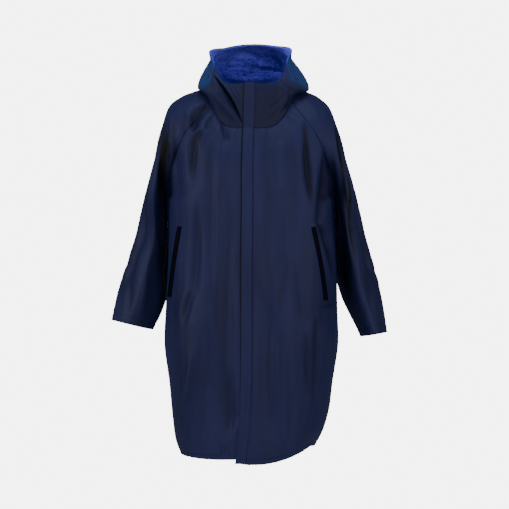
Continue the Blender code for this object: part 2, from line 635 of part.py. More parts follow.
def main():
    for leftover in list(bpy.data.objects):
        bpy.data.objects.remove(leftover)

    grids = {
        "front_left": shaped_hem(front_panel(1), "left_edge"),
        "sleeve_left": sleeve_panel(1),
        "back": shaped_hem(back_panel(), "back"),
        "sleeve_right": sleeve_panel(-1),
        "front_right": shaped_hem(front_panel(-1), "right_edge"),
    }
    order = ("front_left", "sleeve_left", "back", "sleeve_right", "front_right")
    neck = np.concatenate([grids[order[0]][0]] + [grids[n][0, 1:] for n in order[1:]])
    hood = hood_panel(neck)[::-1]
    grids["hood"] = hood

    normals = welded_normals(grids)
    grids = {n: g + normals[n] * fold_depth(g, normals[n])[..., None] for n, g in grids.items()}
    own = {n: welded_normals({n: g})[n] for n, g in grids.items()}
    at_neck = welded_normals(grids)
    at_raglan = welded_normals({n: grids[n] for n in order})
    at_raglan["hood"] = own["hood"]

    # The direction of the neck seam at each of its points, piece by piece.
    ring = np.concatenate([grids[order[0]][0]] + [grids[n][0, 1:] for n in order[1:]])
    ring = unit(np.gradient(ring, axis=0))
    neck_run, first = {"hood": ring}, 0
    for name in order:
        neck_run[name] = ring[first:first + grids[name].shape[1]]
        first += grids[name].shape[1] - 1

    # The hood's columns, cut into its two sides and the panel over the crown.
    first_cut = FRONT_COLUMNS + SLEEVE_COLUMNS - 4
    second_cut = len(neck) - 1 - first_cut
    for name, low, high in (
        ("hood_side_left", 0, first_cut), ("hood_centre", first_cut, second_cut),
        ("hood_side_right", second_cut, len(neck) - 1),
    ):
        for table in (grids, own, at_neck, at_raglan):
            table[name] = table["hood"][:, low:high + 1]
        neck_run[name] = ring[low:high + 1]

    seams = {
        "front_left": ("top", "last"), "front_right": ("top", "first"), "back": ("top", "first", "last"),
        "sleeve_left": ("top", "first", "last"), "sleeve_right": ("top", "first", "last"),
        "hood_side_left": ("bottom", "last"), "hood_centre": ("bottom", "first", "last"),
        "hood_side_right": ("bottom", "first"),
    }
    zip_edges = {
        "front_left": "first", "front_right": "last", "hood_side_left": "first", "hood_side_right": "last",
    }
    for name, edges in seams.items():
        thick = HOOD_SHELL if name.startswith("hood") else SHELL
        shared = {"top": at_neck[name], "first": at_raglan[name], "last": at_raglan[name]}
        middle, out = fitted(grids[name], own[name], shared, neck_run[name], edges, thick)
        tube = None
        if name.startswith("sleeve"):
            # Below the underarm the sleeve's own seam is closed.
            tube = UNDERARM_ROW + 1
            middle[tube:, [0, -1]] = grids[name][tube:, [0, -1]]
            out[tube:, [0, -1]] = own[name][tube:, [0, -1]]
            ease = UNDERARM_EASE if name == "sleeve_left" else -UNDERARM_EASE
            middle[UNDERARM_ROW:tube + 1, [0, -1], 0] += ease
        if name in zip_edges:
            middle = cut_back(middle, zip_edges[name], ZIP_SLOT / 2)
        wall(name, middle, out, thick, "shell", tube)

    # The fleece lies just inside the hood, from its rim nearly down to the neck seam.
    inside = HOOD_SHELL / 2 + HOOD_PILE / 2 + 2 * SEAM_GAP
    lining = eased_in(grids["hood"] - own["hood"] * inside, own["hood"])
    lining[-1] = lining[-2] + (lining[-1] - lining[-2]) * LINING_SHARE
    for edge in ("first", "last"):
        lining = cut_back(lining, edge, LINING_BACK)
    wall("hood_lining", lining, own["hood"], HOOD_PILE, "fleece")

    # The zip lies between the front edges and the storm flap over them both.
    left = list(grids["hood"]) + list(grids["front_left"][1:])
    right = list(grids["hood"][:, ::-1]) + list(grids["front_right"][1:, ::-1])
    outward = np.concatenate([own["hood"][:, :1], own["front_left"][1:, :1]])
    shared = np.concatenate([at_neck["hood"][:, :1], at_neck["front_left"][1:, :1]])
    outward = shared / np.sum(shared * outward, axis=-1, keepdims=True)
    zip_width = ZIP_SLOT - 2 * SEAM_GAP
    closed, out = centre_strip(left[:-2], right[:-2], outward[:-2], zip_width, 0.0)
    wall("front_zip", closed, out, ZIP_THICK, "trim")
    above = SHELL / 2 + FLAP_THICK / 2 + 2 * SEAM_GAP
    flap, out = centre_strip(left, right, outward, FLAP_WIDTH, above)
    wall("storm_flap", flap, out, FLAP_THICK, "shell")

    above = SHELL / 2 + POCKET_THICK / 2 + POCKET_GAP
    for name, path in POCKETS.items():
        panel = name.replace("pocket_zip", "front")
        strip, out = strip_on(grids[panel], own[panel], path, POCKET_WIDTH, above)
        wall(name, strip, out, POCKET_THICK, "trim")


main()
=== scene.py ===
"""Looks of a hooded changing robe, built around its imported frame.

Metres, +Z up, the front faces -Y, the wearer's left is at +X. Each panel's cloth is worked out from
the same sections as its solid, at finer steps, and gets its creases, sewing and finish here.
"""

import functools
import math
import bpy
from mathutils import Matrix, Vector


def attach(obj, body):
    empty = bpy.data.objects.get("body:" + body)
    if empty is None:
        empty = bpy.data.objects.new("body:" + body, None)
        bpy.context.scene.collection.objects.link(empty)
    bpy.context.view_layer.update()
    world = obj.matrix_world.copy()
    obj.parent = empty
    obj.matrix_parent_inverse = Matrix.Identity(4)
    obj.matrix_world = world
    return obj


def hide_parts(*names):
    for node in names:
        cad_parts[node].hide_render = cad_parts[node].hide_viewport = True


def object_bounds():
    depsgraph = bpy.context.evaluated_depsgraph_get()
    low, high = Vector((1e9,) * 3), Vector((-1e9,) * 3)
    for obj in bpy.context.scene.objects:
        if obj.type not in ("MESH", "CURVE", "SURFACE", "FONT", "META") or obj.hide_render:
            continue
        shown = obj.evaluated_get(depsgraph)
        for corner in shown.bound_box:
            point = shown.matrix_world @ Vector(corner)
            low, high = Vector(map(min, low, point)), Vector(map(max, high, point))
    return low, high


bl_info = {
    "name": "Changing robe",
    "version": (1, 0, 0),
    "blender": (4, 5, 0),
    "location": "View3D > Sidebar > Robe",
    "description": "Builds the cloth, lining, zips and sewing of a hooded changing robe",
    "category": "Object",
}

from collections import namedtuple

import bpy
import numpy as np
from bpy.props import FloatProperty, FloatVectorProperty, PointerProperty
from mathutils import Vector

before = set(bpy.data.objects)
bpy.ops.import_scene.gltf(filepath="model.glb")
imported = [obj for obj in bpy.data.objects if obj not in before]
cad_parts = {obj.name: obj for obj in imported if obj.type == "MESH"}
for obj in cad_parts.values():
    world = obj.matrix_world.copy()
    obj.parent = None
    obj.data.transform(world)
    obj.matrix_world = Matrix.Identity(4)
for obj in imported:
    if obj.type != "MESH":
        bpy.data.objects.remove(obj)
CAD_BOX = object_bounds()


# ---------------------------------------------------------------- sizes shared with the solids

SHELL = 0.0025          # thickness of body and sleeves, shell and lining together
HOOD_SHELL = 0.0018
HOOD_PILE = 0.0020      # the fleece inside the hood
LINING_BACK = 0.0060    # how far the fleece stops short of the zip's line
LINING_STOP = 2         # rows above the neck seam at which it ends
LINING_PROUD = 0.0004   # most that it stands out towards the shell
SEAM_GAP = 0.0003
FLAP_WIDTH = 0.031
FLAP_THICK = 0.0020
ZIP_SLOT = 0.0080       # between the two fronts
ZIP_THICK = 0.0020
POCKET_WIDTH = 0.012
POCKET_THICK = 0.0016
POCKET_GAP = 0.0010     # between a pocket's zip and the front under it
MITRE = 40              # most that a seam's edge leans, in degrees
SHARPEST = 76           # sharpest half angle of a seam that an edge is fitted to, in degrees
UNDERARM_EASE = 0.002
FLAT_EDGE = (0.022, 0.045)  # from the front's middle: flat up to here, folded from there on
SIDE_FOLLOW = 0.10      # how far cloth must face a side before it takes that side's folds
CLEFT_FRONT = 0.30      # how far sideways the cloth runs into the raglan seam's fold
CLEFT_SLEEVE = 0.45
CLEFT_INNER = 0.25      # the same on the sleeve's inner side, under the underarm

# Steps of the cloth's net, finer than the solids'.
FINER_ROWS = 5          # times the rows of each section
FRONT_COLUMNS = 80
FRONT_CROWD = 1.35      # above 1 the front's columns stand closer together beside the zip
BACK_COLUMNS = 96
SLEEVE_COLUMNS = 72
YOKE_STEPS = 10
HOOD_ROWS = 44


# ---------------------------------------------------------------- sections

# Yoke, from the neck seam to the underarm, on the wearer's left. Each row is one ring round the
# neck; the raglan seams run down the "front_seam" and "back_seam" columns and meet at the underarm.
# "pinch" says how sharply the cloth turns in at those seams, "right_out" how much further out the
# right shoulder lies.
Ring = namedtuple(
    "Ring",
    "front_mid front_chest front_seam sleeve_front shoulder sleeve_back back_seam back_blade back_mid"
    " pinch right_out",
)
YOKE = (
    Ring((-0.006, -0.108, -0.132), (0.067, -0.096, -0.127), (0.123, -0.052, -0.050),
         (0.122, -0.026, -0.026), (0.112, 0.008, -0.006), (0.100, 0.045, -0.002),
         (0.078, 0.074, -0.002), (0.042, 0.092, 0.002), (0.0, 0.098, 0.003), 0.0, 0.0),
    Ring((-0.008, -0.128, -0.172), (0.098, -0.116, -0.160), (0.152, -0.084, -0.088),
         (0.172, -0.052, -0.046), (0.175, 0.006, -0.020), (0.164, 0.062, -0.030),
         (0.134, 0.106, -0.054), (0.072, 0.124, -0.056), (0.0, 0.128, -0.052), 0.0, 0.003),
    Ring((-0.009, -0.146, -0.216), (0.122, -0.136, -0.200), (0.186, -0.106, -0.130),
         (0.224, -0.070, -0.086), (0.234, 0.008, -0.060), (0.218, 0.086, -0.082),
         (0.182, 0.124, -0.116), (0.104, 0.145, -0.118), (0.0, 0.146, -0.114), 0.10, 0.010),
    Ring((-0.010, -0.157, -0.258), (0.150, -0.142, -0.246), (0.216, -0.098, -0.190),
         (0.252, -0.086, -0.146), (0.262, 0.010, -0.128), (0.246, 0.100, -0.148),
         (0.212, 0.120, -0.182), (0.134, 0.150, -0.184), (0.0, 0.154, -0.182), 0.45, 0.006),
    Ring((-0.010, -0.164, -0.300), (0.176, -0.138, -0.296), (0.242, -0.062, -0.262),
         (0.274, -0.094, -0.232), (0.289, 0.012, -0.226), (0.272, 0.110, -0.236),
         (0.242, 0.090, -0.262), (0.166, 0.142, -0.262), (0.0, 0.156, -0.262), 0.85, 0.002),
    Ring((-0.010, -0.168, -0.342), (0.194, -0.130, -0.342), (0.257, 0.014, -0.342),
         (0.296, -0.086, -0.336), (0.317, 0.014, -0.334), (0.296, 0.114, -0.336),
         (0.257, 0.014, -0.342), (0.190, 0.122, -0.342), (0.0, 0.154, -0.342), 1.0, 0.0),
)

# Body below the underarm. "right" and "left" are the wearer's; "side" is where the side seam lies
# front to back, "mid" the sideways place of the front edge.
Section = namedtuple("Section", "z right left front back side mid rows")
BODY = (
    Section(-0.440, 0.250, 0.256, 0.173, 0.158, -0.006, -0.011, 3),
    Section(-0.560, 0.251, 0.260, 0.177, 0.163, -0.014, -0.012, 3),
    Section(-0.680, 0.257, 0.263, 0.180, 0.167, -0.015, -0.012, 3),
    Section(-0.780, 0.261, 0.266, 0.181, 0.169, -0.012, -0.012, 3),
    Section(-0.900, 0.246, 0.249, 0.179, 0.168, -0.010, -0.013, 3),
    Section(-1.020, 0.234, 0.233, 0.173, 0.163, -0.008, -0.019, 3),
    Section(-1.080, 0.225, 0.216, 0.168, 0.157, -0.008, -0.026, 2),
    Section(-1.122, 0.209, 0.194, 0.162, 0.150, -0.008, -0.031, 2),
)
CORNER = 0.757          # how full a section is between its front and its side
HEM_START = -0.900      # below this the hem's own line shapes the cloth
HEM_END = BODY[-1].z
# How much higher the hem is than its nominal height, at named places round the robe.
HEM_LIFT = {
    "right_edge": -0.007, "left_edge": -0.020, "right_side": 0.000, "left_side": 0.028, "back": 0.008,
}
HEM_SAG = {"right_edge": 0.003, "left_edge": 0.012, "back": 0.0}    # lower still halfway to the side
HEM_REACH = {"left": 0.212, "right": 0.185}     # from the front edge to where the side's height holds
HEM_BEND = {"front": 1.6, "back": 3}            # above 1 the hem turns up later on its way to the side

# Sleeves below the underarm, as closed rings. "inner" and "outer" are how far out the side next to
# the body and the outer side lie, "deep" the half width front to back, "seam_y" the place of the
# underarm seam, "tilt" the ring's slope in degrees.
Cuff = namedtuple("Cuff", "inner outer y z deep seam_y tilt rows")
SLEEVE_RIGHT = (
    Cuff(0.2440, 0.3470, 0.026, -0.445, 0.098, 0.074, 3, 3),
    Cuff(0.2490, 0.3770, 0.022, -0.545, 0.093, 0.070, 7, 3),
    Cuff(0.2585, 0.4045, 0.012, -0.640, 0.080, 0.048, 11, 3),
    Cuff(0.2780, 0.4160, 0.000, -0.690, 0.062, 0.020, 13, 2),
    Cuff(0.2975, 0.4230, -0.008, -0.728, 0.047, 0.005, 13, 2),
)
SLEEVE_LEFT = (
    Cuff(0.2480, 0.3450, 0.026, -0.445, 0.098, 0.074, 3, 3),
    Cuff(0.2550, 0.3740, 0.024, -0.545, 0.094, 0.066, 6, 3),
    Cuff(0.2810, 0.3970, 0.018, -0.640, 0.084, 0.044, 8, 3),
    Cuff(0.3090, 0.4080, 0.010, -0.700, 0.072, 0.026, 9, 2),
    Cuff(0.3360, 0.4160, 0.004, -0.757, 0.062, 0.010, 9, 2),
)

# Hood and stand collar, from the neck seam up to the rim, on the wearer's left. Each row is one
# line round the neck. At the sides the slack cloth hangs out over the shoulder. "right_in" and
# "right_up" say how the right side differs.
Hood = namedtuple("Hood", "front_mid front_corner cheek jowl side nape_side nape right_in right_up")
HOOD = (
    Hood((-0.005, -0.109, -0.098), (0.073, -0.096, -0.094), (0.128, -0.060, -0.036),
         (0.136, -0.038, -0.024), (0.139, 0.008, -0.003), (0.114, 0.104, 0.010), (0.0, 0.146, 0.012),
         0.006, 0.000),
    Hood((-0.004, -0.110, -0.062), (0.079, -0.097, -0.060), (0.138, -0.070, -0.018),
         (0.168, -0.048, -0.019), (0.1760, 0.004, -0.012), (0.152, 0.116, 0.028), (0.0, 0.184, 0.042),
         0.018, 0.003),
    Hood((-0.003, -0.110, -0.028), (0.080, -0.097, -0.028), (0.119, -0.078, 0.012),
         (0.126, -0.058, 0.034), (0.128, -0.008, 0.050), (0.124, 0.070, 0.088), (0.006, 0.128, 0.108),
         0.004, 0.000),
    Hood((-0.002, -0.104, 0.005), (0.075, -0.089, 0.006), (0.102, -0.070, 0.038),
         (0.112, -0.060, 0.074), (0.125, -0.040, 0.109), (0.074, -0.030, 0.120), (0.015, -0.022, 0.125),
         0.000, -0.006),
)


# ---------------------------------------------------------------- folds

# The largest folds. A path runs through three places, seen from the front as (x, z); "width" is
# the half width of a trough or ridge and "depth" is positive for a ridge. "face" is the side of
# the robe that has it: -1 front, 1 back.
Fold = namedtuple("Fold", "face start middle end width depth")
FOLDS = (
    Fold(-1, (-0.118, -0.070), (-0.168, -0.110), (-0.176, -0.160), 0.018, -0.008),
    Fold(-1, (-0.150, -0.150), (-0.172, -0.230), (-0.176, -0.330), 0.024, -0.009),
    Fold(-1, (-0.225, -0.180), (-0.222, -0.260), (-0.220, -0.360), 0.020, -0.008),
    Fold(-1, (-0.160, -0.360), (-0.170, -0.560), (-0.180, -0.720), 0.030, -0.010),
    Fold(-1, (-0.080, -0.400), (-0.090, -0.800), (-0.082, -1.100), 0.044, -0.013),
    Fold(-1, (-0.185, -0.780), (-0.200, -0.960), (-0.210, -1.090), 0.026, 0.007),
    Fold(-1, (-0.040, -0.860), (-0.052, -1.000), (-0.058, -1.140), 0.026, -0.010),
    Fold(-1, (0.165, -0.110), (0.172, -0.240), (0.180, -0.400), 0.026, -0.012),
    Fold(-1, (0.222, -0.220), (0.216, -0.320), (0.212, -0.430), 0.022, -0.010),
    Fold(-1, (0.070, -0.260), (0.076, -0.480), (0.082, -0.640), 0.034, -0.008),
    Fold(-1, (0.048, -0.600), (0.052, -0.860), (0.058, -1.120), 0.030, -0.010),
    Fold(-1, (0.160, -0.640), (0.168, -0.860), (0.178, -1.040), 0.032, -0.009),
    Fold(-1, (0.110, -0.640), (0.112, -0.860), (0.112, -1.100), 0.030, 0.007),
    Fold(1, (0.0, -0.080), (0.010, -0.480), (0.004, -1.100), 0.040, -0.011),
    Fold(1, (-0.090, -0.150), (-0.100, -0.560), (-0.112, -1.090), 0.044, -0.012),
    Fold(1, (0.090, -0.160), (0.098, -0.600), (0.106, -1.090), 0.042, -0.012),
    Fold(1, (-0.182, -0.240), (-0.190, -0.600), (-0.186, -1.060), 0.030, -0.010),
    Fold(1, (0.184, -0.230), (0.188, -0.560), (0.184, -1.040), 0.030, -0.010),
    Fold(1, (-0.046, -0.420), (-0.052, -0.760), (-0.058, -1.120), 0.026, 0.007),
    Fold(1, (0.050, -0.380), (0.052, -0.740), (0.056, -1.120), 0.026, 0.007),
    # the collar's deep crease on the wearer's right, the roll beside it, and the softer left side
    Fold(-1, (-0.096, 0.014), (-0.062, -0.048), (-0.030, -0.112), 0.009, -0.005),
    Fold(-1, (-0.118, -0.010), (-0.084, -0.056), (-0.048, -0.108), 0.013, 0.006),
    Fold(-1, (0.104, -0.014), (0.080, -0.056), (0.044, -0.098), 0.020, -0.004),
    # the sleeve's own long folds, hanging from the shoulder tip
    Fold(-1, (0.288, -0.200), (0.306, -0.320), (0.322, -0.460), 0.018, -0.008),
    Fold(-1, (-0.300, -0.380), (-0.318, -0.480), (-0.332, -0.600), 0.024, -0.007),
    Fold(1, (0.270, -0.180), (0.300, -0.340), (0.330, -0.560), 0.026, -0.008),
    Fold(1, (-0.270, -0.180), (-0.300, -0.340), (-0.330, -0.560), 0.026, -0.008),
)

FOLD_STEPS = 16

# Pocket openings, from the top down the front, as (x, z) seen from the front.
POCKETS = {
    "pocket_zip_right": ((-0.212, -0.429), (-0.229, -0.531), (-0.2435, -0.642)),
    "pocket_zip_left": ((0.188, -0.431), (0.211, -0.543), (0.226, -0.652)),
}
POCKET_STEPS = 60
POCKET_COLUMNS = 9


# ---------------------------------------------------------------- creases and sewing

# The finer creases. "on" is the kind of piece that has it. "seen" is the side that the path is read
# from: (x, z) from the front and back, (y, z) from the wearer's left and right. "width" is half a
# trough, "depth" is negative for one and positive for a ridge, and "lean" throws up a softer ridge on
# one side of it. "dark" is how much painted shade lies in its bottom, from 0 to 1; below 0 it is a
# painted highlight, and without it the crease's own slope says how much. A crease's place in the table
# is the seed of its wander, so new ones go last.
Crease = namedtuple("Crease", "on seen width depth lean path dark", defaults=(None,))


def crease_table(*groups):
    """All creases, from groups of rows that lie on the same kind of piece and are seen from one side."""
    return tuple(Crease(on, seen, *row) for on, seen, *rows in groups for row in rows)


CREASES = crease_table(
    # chest and raglan seam on the wearer's right
    ("all", "front",
     (0.013, -0.0055, 0.5, ((-0.113, -0.062), (-0.163, -0.098), (-0.178, -0.150)), 0.5)),
    ("torso", "front",
     (0.008, -0.0030, -0.3, ((-0.113, -0.095), (-0.124, -0.116), (-0.134, -0.140))),
     (0.007, -0.0032, 0.4, ((-0.090, -0.101), (-0.078, -0.146), (-0.066, -0.178)))),
    ("all", "front",
     (0.010, -0.0046, 0.5, ((-0.143, -0.137), (-0.164, -0.162), (-0.174, -0.207),
      (-0.178, -0.290)), 0.6)),
    ("sleeves", "front",
     (0.009, -0.0034, -0.4, ((-0.200, -0.080), (-0.197, -0.130), (-0.192, -0.180))),
     (0.010, -0.0042, 0.3, ((-0.230, -0.100), (-0.234, -0.162), (-0.225, -0.207), (-0.223, -0.295))),
     (0.006, -0.0050, 0.0, ((-0.251, -0.100), (-0.249, -0.162), (-0.246, -0.207), (-0.244, -0.250))),
     (0.0125, -0.0060, 0.2, ((-0.254, -0.100), (-0.263, -0.195), (-0.266, -0.262), (-0.267, -0.328),
      (-0.267, -0.460), (-0.264, -0.620)), 1.0)),
    # the same on the wearer's left
    ("all", "front",
     (0.010, -0.0050, -0.4, ((0.162, -0.110), (0.174, -0.226), (0.186, -0.370)), 0.75)),
    ("torso", "front",
     (0.012, -0.0070, 0.4, ((0.222, -0.190), (0.226, -0.310), (0.200, -0.425)), 0.5),
     (0.009, -0.0055, 0.5, ((0.198, -0.405), (0.224, -0.470), (0.254, -0.595)), 0.6)),
    ("sleeves", "front",
     (0.0125, -0.0040, 0.3, ((0.246, -0.220), (0.260, -0.328), (0.269, -0.394), (0.276, -0.460),
      (0.283, -0.540), (0.300, -0.640), (0.326, -0.716)), 1.0),
     (0.0072, -0.0085, 0.5, ((0.250, -0.070), (0.268, -0.195), (0.280, -0.262), (0.290, -0.328),
      (0.300, -0.394), (0.307, -0.460), (0.318, -0.540)), 1.0)),
    ("torso", "front",
     (0.007, -0.0032, 0.2, ((0.214, -0.674), (0.242, -0.668), (0.264, -0.662)))),
    # long soft folds of the chest and skirt
    ("torso", "front",
     (0.012, -0.0045, 0.4, ((-0.154, -0.330), (-0.166, -0.531), (-0.177, -0.660))),
     (0.010, -0.0045, 0.5, ((-0.183, -0.620), (-0.192, -0.670), (-0.205, -0.730))),
     (0.008, 0.0055, 0.0, ((-0.176, -0.810), (-0.192, -0.967), (-0.208, -1.075))),
     (0.014, -0.0028, -0.5, ((-0.040, -0.930), (-0.052, -1.000), (-0.072, -1.060))),
     (0.028, -0.0030, 0.0, ((-0.078, -0.560), (-0.082, -0.820), (-0.074, -1.070)), 0.22),
     (0.014, -0.0035, 0.3, ((-0.118, -0.160), (-0.120, -0.420), (-0.118, -0.700))),
     (0.016, -0.0030, -0.3, ((-0.070, -0.220), (-0.066, -0.560), (-0.074, -0.900))),
     (0.012, 0.0030, 0.0, ((-0.094, -0.130), (-0.098, -0.420), (-0.096, -0.860))),
     (0.014, -0.0035, 0.3, ((-0.128, -0.700), (-0.136, -0.880), (-0.140, -1.060))),
     (0.010, -0.0030, 0.5, ((0.112, -0.530), (0.093, -0.644), (0.086, -0.735))),
     (0.011, -0.0032, -0.4, ((0.132, -0.540), (0.138, -0.640), (0.149, -0.740))),
     (0.010, -0.0038, 0.4, ((0.165, -0.750), (0.175, -0.848), (0.182, -0.945))),
     (0.008, 0.0050, 0.0, ((0.073, -0.720), (0.072, -0.860), (0.071, -1.000))),
     (0.013, -0.0035, 0.3, ((0.046, -0.140), (0.050, -0.380), (0.054, -0.640))),
     (0.012, 0.0030, 0.0, ((0.098, -0.140), (0.100, -0.340), (0.106, -0.560))),
     (0.014, -0.0035, -0.3, ((0.130, -0.160), (0.132, -0.300), (0.136, -0.500))),
     (0.012, -0.0040, 0.4, ((0.196, -0.700), (0.200, -0.820), (0.196, -0.980))),
     (0.012, -0.0035, 0.3, ((0.112, -0.780), (0.116, -0.940), (0.118, -1.080)))),
    # puckers over the hem beside the storm flap
    ("torso", "front",
     (0.005, -0.0018, 0.3, ((-0.060, -1.070), (-0.062, -1.095), (-0.062, -1.125))),
     (0.005, -0.0016, -0.3, ((-0.074, -1.078), (-0.075, -1.100), (-0.077, -1.125))),
     (0.005, -0.0014, 0.3, ((-0.088, -1.084), (-0.090, -1.104), (-0.091, -1.125)))),
    # collar: the deep crease and its roll, fine ones beside it, the softer left side
    ("hood", "front",
     (0.0042, -0.0075, -0.45, ((-0.118, 0.040), (-0.088, -0.002), (-0.058, -0.050),
      (-0.018, -0.130)), 1.0),
     (0.009, 0.0030, 0.0, ((-0.126, 0.010), (-0.105, -0.021), (-0.078, -0.062), (-0.042, -0.114))),
     (0.0035, -0.0016, 0.3, ((-0.070, 0.004), (-0.052, -0.026), (-0.028, -0.070))),
     (0.0035, -0.0014, 0.3, ((-0.048, 0.004), (-0.038, -0.020), (-0.026, -0.046))),
     (0.0035, -0.0014, -0.3, ((-0.088, -0.012), (-0.066, -0.052), (-0.044, -0.086))),
     (0.008, -0.0038, 0.4, ((0.084, 0.008), (0.118, -0.014), (0.122, -0.037), (0.074, -0.100))),
     (0.0028, -0.0010, 0.3, ((0.036, -0.010), (0.028, -0.026), (0.014, -0.046))),
     (0.0030, -0.0012, -0.3, ((0.064, -0.006), (0.042, -0.030), (0.016, -0.062))),
     (0.0026, -0.0009, 0.3, ((0.074, -0.016), (0.054, -0.040), (0.034, -0.058))),
     (0.0030, -0.0012, -0.3, ((0.090, -0.016), (0.064, -0.048), (0.022, -0.094))),
     (0.0028, -0.0010, 0.3, ((0.100, -0.034), (0.078, -0.056), (0.050, -0.078))),
     (0.0040, -0.0014, 0.3, ((0.104, -0.050), (0.082, -0.080), (0.048, -0.108))),
     (0.006, -0.0030, 0.4, ((-0.132, 0.012), (-0.128, 0.030), (-0.116, 0.052))),
     (0.006, -0.0026, -0.4, ((0.142, 0.010), (0.136, 0.028), (0.122, 0.046)))),
    # sleeves, seen from the front
    ("sleeves", "front",
     (0.026, -0.0060, -0.5, ((-0.290, -0.320), (-0.298, -0.540), (-0.304, -0.720)), 0.12),
     (0.010, -0.0035, 0.3, ((-0.352, -0.480), (-0.362, -0.600), (-0.372, -0.700))),
     (0.012, -0.0045, 0.4, ((0.336, -0.380), (0.352, -0.520), (0.366, -0.690))),
     (0.008, 0.0035, 0.0, ((0.306, -0.420), (0.322, -0.560), (0.338, -0.690)))),
    # outer sides of the sleeves
    ("sleeves", "left",
     (0.016, -0.0060, 0.4, ((0.030, -0.180), (0.042, -0.380), (0.030, -0.620))),
     (0.013, -0.0050, -0.4, ((-0.020, -0.240), (-0.026, -0.420), (-0.012, -0.640))),
     (0.010, -0.0040, 0.4, ((0.066, -0.300), (0.072, -0.460), (0.052, -0.640))),
     (0.012, -0.0016, 0.3, ((-0.040, -0.520), (0.000, -0.560), (0.050, -0.585)))),
    ("sleeves", "right",
     (0.016, -0.0060, 0.4, ((0.020, -0.170), (0.034, -0.360), (0.020, -0.600))),
     (0.013, -0.0050, -0.4, ((-0.028, -0.230), (-0.030, -0.430), (-0.022, -0.630))),
     (0.010, -0.0045, 0.4, ((0.058, -0.280), (0.066, -0.440), (0.040, -0.620))),
     (0.012, -0.0016, 0.3, ((-0.036, -0.500), (0.006, -0.545), (0.050, -0.570)))),
    # back: long folds that fall from the shoulder blades, creases at the raglan seams
    ("all", "back",
     (0.012, -0.0050, 0.4, ((0.118, -0.050), (0.150, -0.110), (0.176, -0.220))),
     (0.012, -0.0050, -0.4, ((-0.116, -0.055), (-0.154, -0.120), (-0.182, -0.240)))),
    ("torso", "back",
     (0.014, -0.0050, 0.4, ((0.064, -0.100), (0.070, -0.420), (0.078, -0.820))),
     (0.013, -0.0050, -0.4, ((-0.060, -0.120), (-0.070, -0.460), (-0.066, -0.860))),
     (0.012, -0.0045, 0.4, ((0.140, -0.300), (0.146, -0.620), (0.140, -1.000))),
     (0.012, -0.0045, -0.4, ((-0.142, -0.320), (-0.150, -0.660), (-0.142, -1.020))),
     (0.010, 0.0040, 0.0, ((0.026, -0.360), (0.030, -0.700), (0.024, -1.060))),
     (0.010, 0.0040, 0.0, ((-0.022, -0.420), (-0.024, -0.760), (-0.030, -1.070))),
     (0.009, -0.0035, 0.3, ((-0.200, -0.440), (-0.214, -0.640), (-0.206, -0.860))),
     (0.009, -0.0035, 0.3, ((0.202, -0.420), (0.216, -0.640), (0.210, -0.880)))),
    ("sleeves", "back",
     (0.012, -0.0055, 0.4, ((0.250, -0.140), (0.288, -0.320), (0.318, -0.560))),
     (0.012, -0.0055, -0.4, ((-0.250, -0.140), (-0.284, -0.310), (-0.312, -0.540))),
     (0.010, -0.0040, 0.3, ((0.330, -0.400), (0.350, -0.540), (0.372, -0.690))),
     (0.010, -0.0040, -0.3, ((-0.328, -0.390), (-0.348, -0.530), (-0.366, -0.670)))),
    # hood, seen from behind: slack cloth between the crown and the neck
    ("hood", "back",
     (0.012, -0.0050, 0.4, ((-0.110, 0.070), (-0.030, 0.040), (0.070, 0.056))),
     (0.010, -0.0040, -0.4, ((-0.040, 0.100), (0.030, 0.078), (0.100, 0.086)))),
)
# The lining's own, on the inside of the crown: the seam of its two halves and slack cloth over it,
# with painted shade in them; those without depth are only painted shade or painted highlight lines.
LINING_CREASES = crease_table(
    ("hood", "back",
     (0.0034, -0.0045, 0.9, ((-0.078, 0.059), (-0.029, 0.063), (0.012, 0.060), (0.066, 0.054),
      (0.104, 0.050)), -0.7),
     (0.0045, 0.0, 0.0, ((0.000, 0.074), (0.040, 0.067), (0.076, 0.060), (0.110, 0.053)), 0.9),
     (0.006, -0.0030, 0.4, ((-0.074, 0.088), (-0.056, 0.110), (-0.029, 0.118), (0.008, 0.112),
      (0.050, 0.092)), 0.40),
     (0.006, -0.0040, -0.4, ((0.060, 0.104), (0.088, 0.084), (0.102, 0.062)), 0.75),
     (0.007, 0.0, 0.0, ((-0.048, 0.098), (-0.020, 0.102), (0.020, 0.092)), -0.8),
     (0.006, 0.0, 0.0, ((0.012, 0.082), (0.040, 0.076), (0.080, 0.068)), -0.7),
     (0.006, 0.0, 0.0, ((-0.070, 0.076), (-0.050, 0.080), (-0.020, 0.078)), -0.5),
     (0.007, -0.0040, 0.3, ((-0.070, 0.042), (-0.020, 0.032), (0.050, 0.040)), -0.3),
     (0.009, 0.0, 0.0, ((-0.084, 0.030), (-0.040, 0.017), (0.030, 0.016), (0.090, 0.030)), 0.9)),
)

HEM_DEPTH = 0.014       # from the hem's edge to its line of sewing
CUFF_DEPTH = 0.022
RIM_DEPTH = 0.010
SEAM_SEWN = 0.0035      # from a raglan, neck or hood seam to its line of sewing
POCKET_SEWN = 0.0095    # from the middle of a pocket's zip to the sewing round it
FLAP_SEWN = (("first", 0.0025), ("last", 0.0025), ("last", 0.0085))     # edge, and how far in
SEAM_LINE = 0.0008      # width of the dark line at a seam, on each side of it
FLAP_STEPS = 13
ZIP_STEPS = 5
ZIP_ENDS = 6            # rows above the hem at which the front zip ends
FLAP_PRESSED = 0.00015  # how far the storm flap presses into the cloth under it


# ---------------------------------------------------------------- curves and surfaces


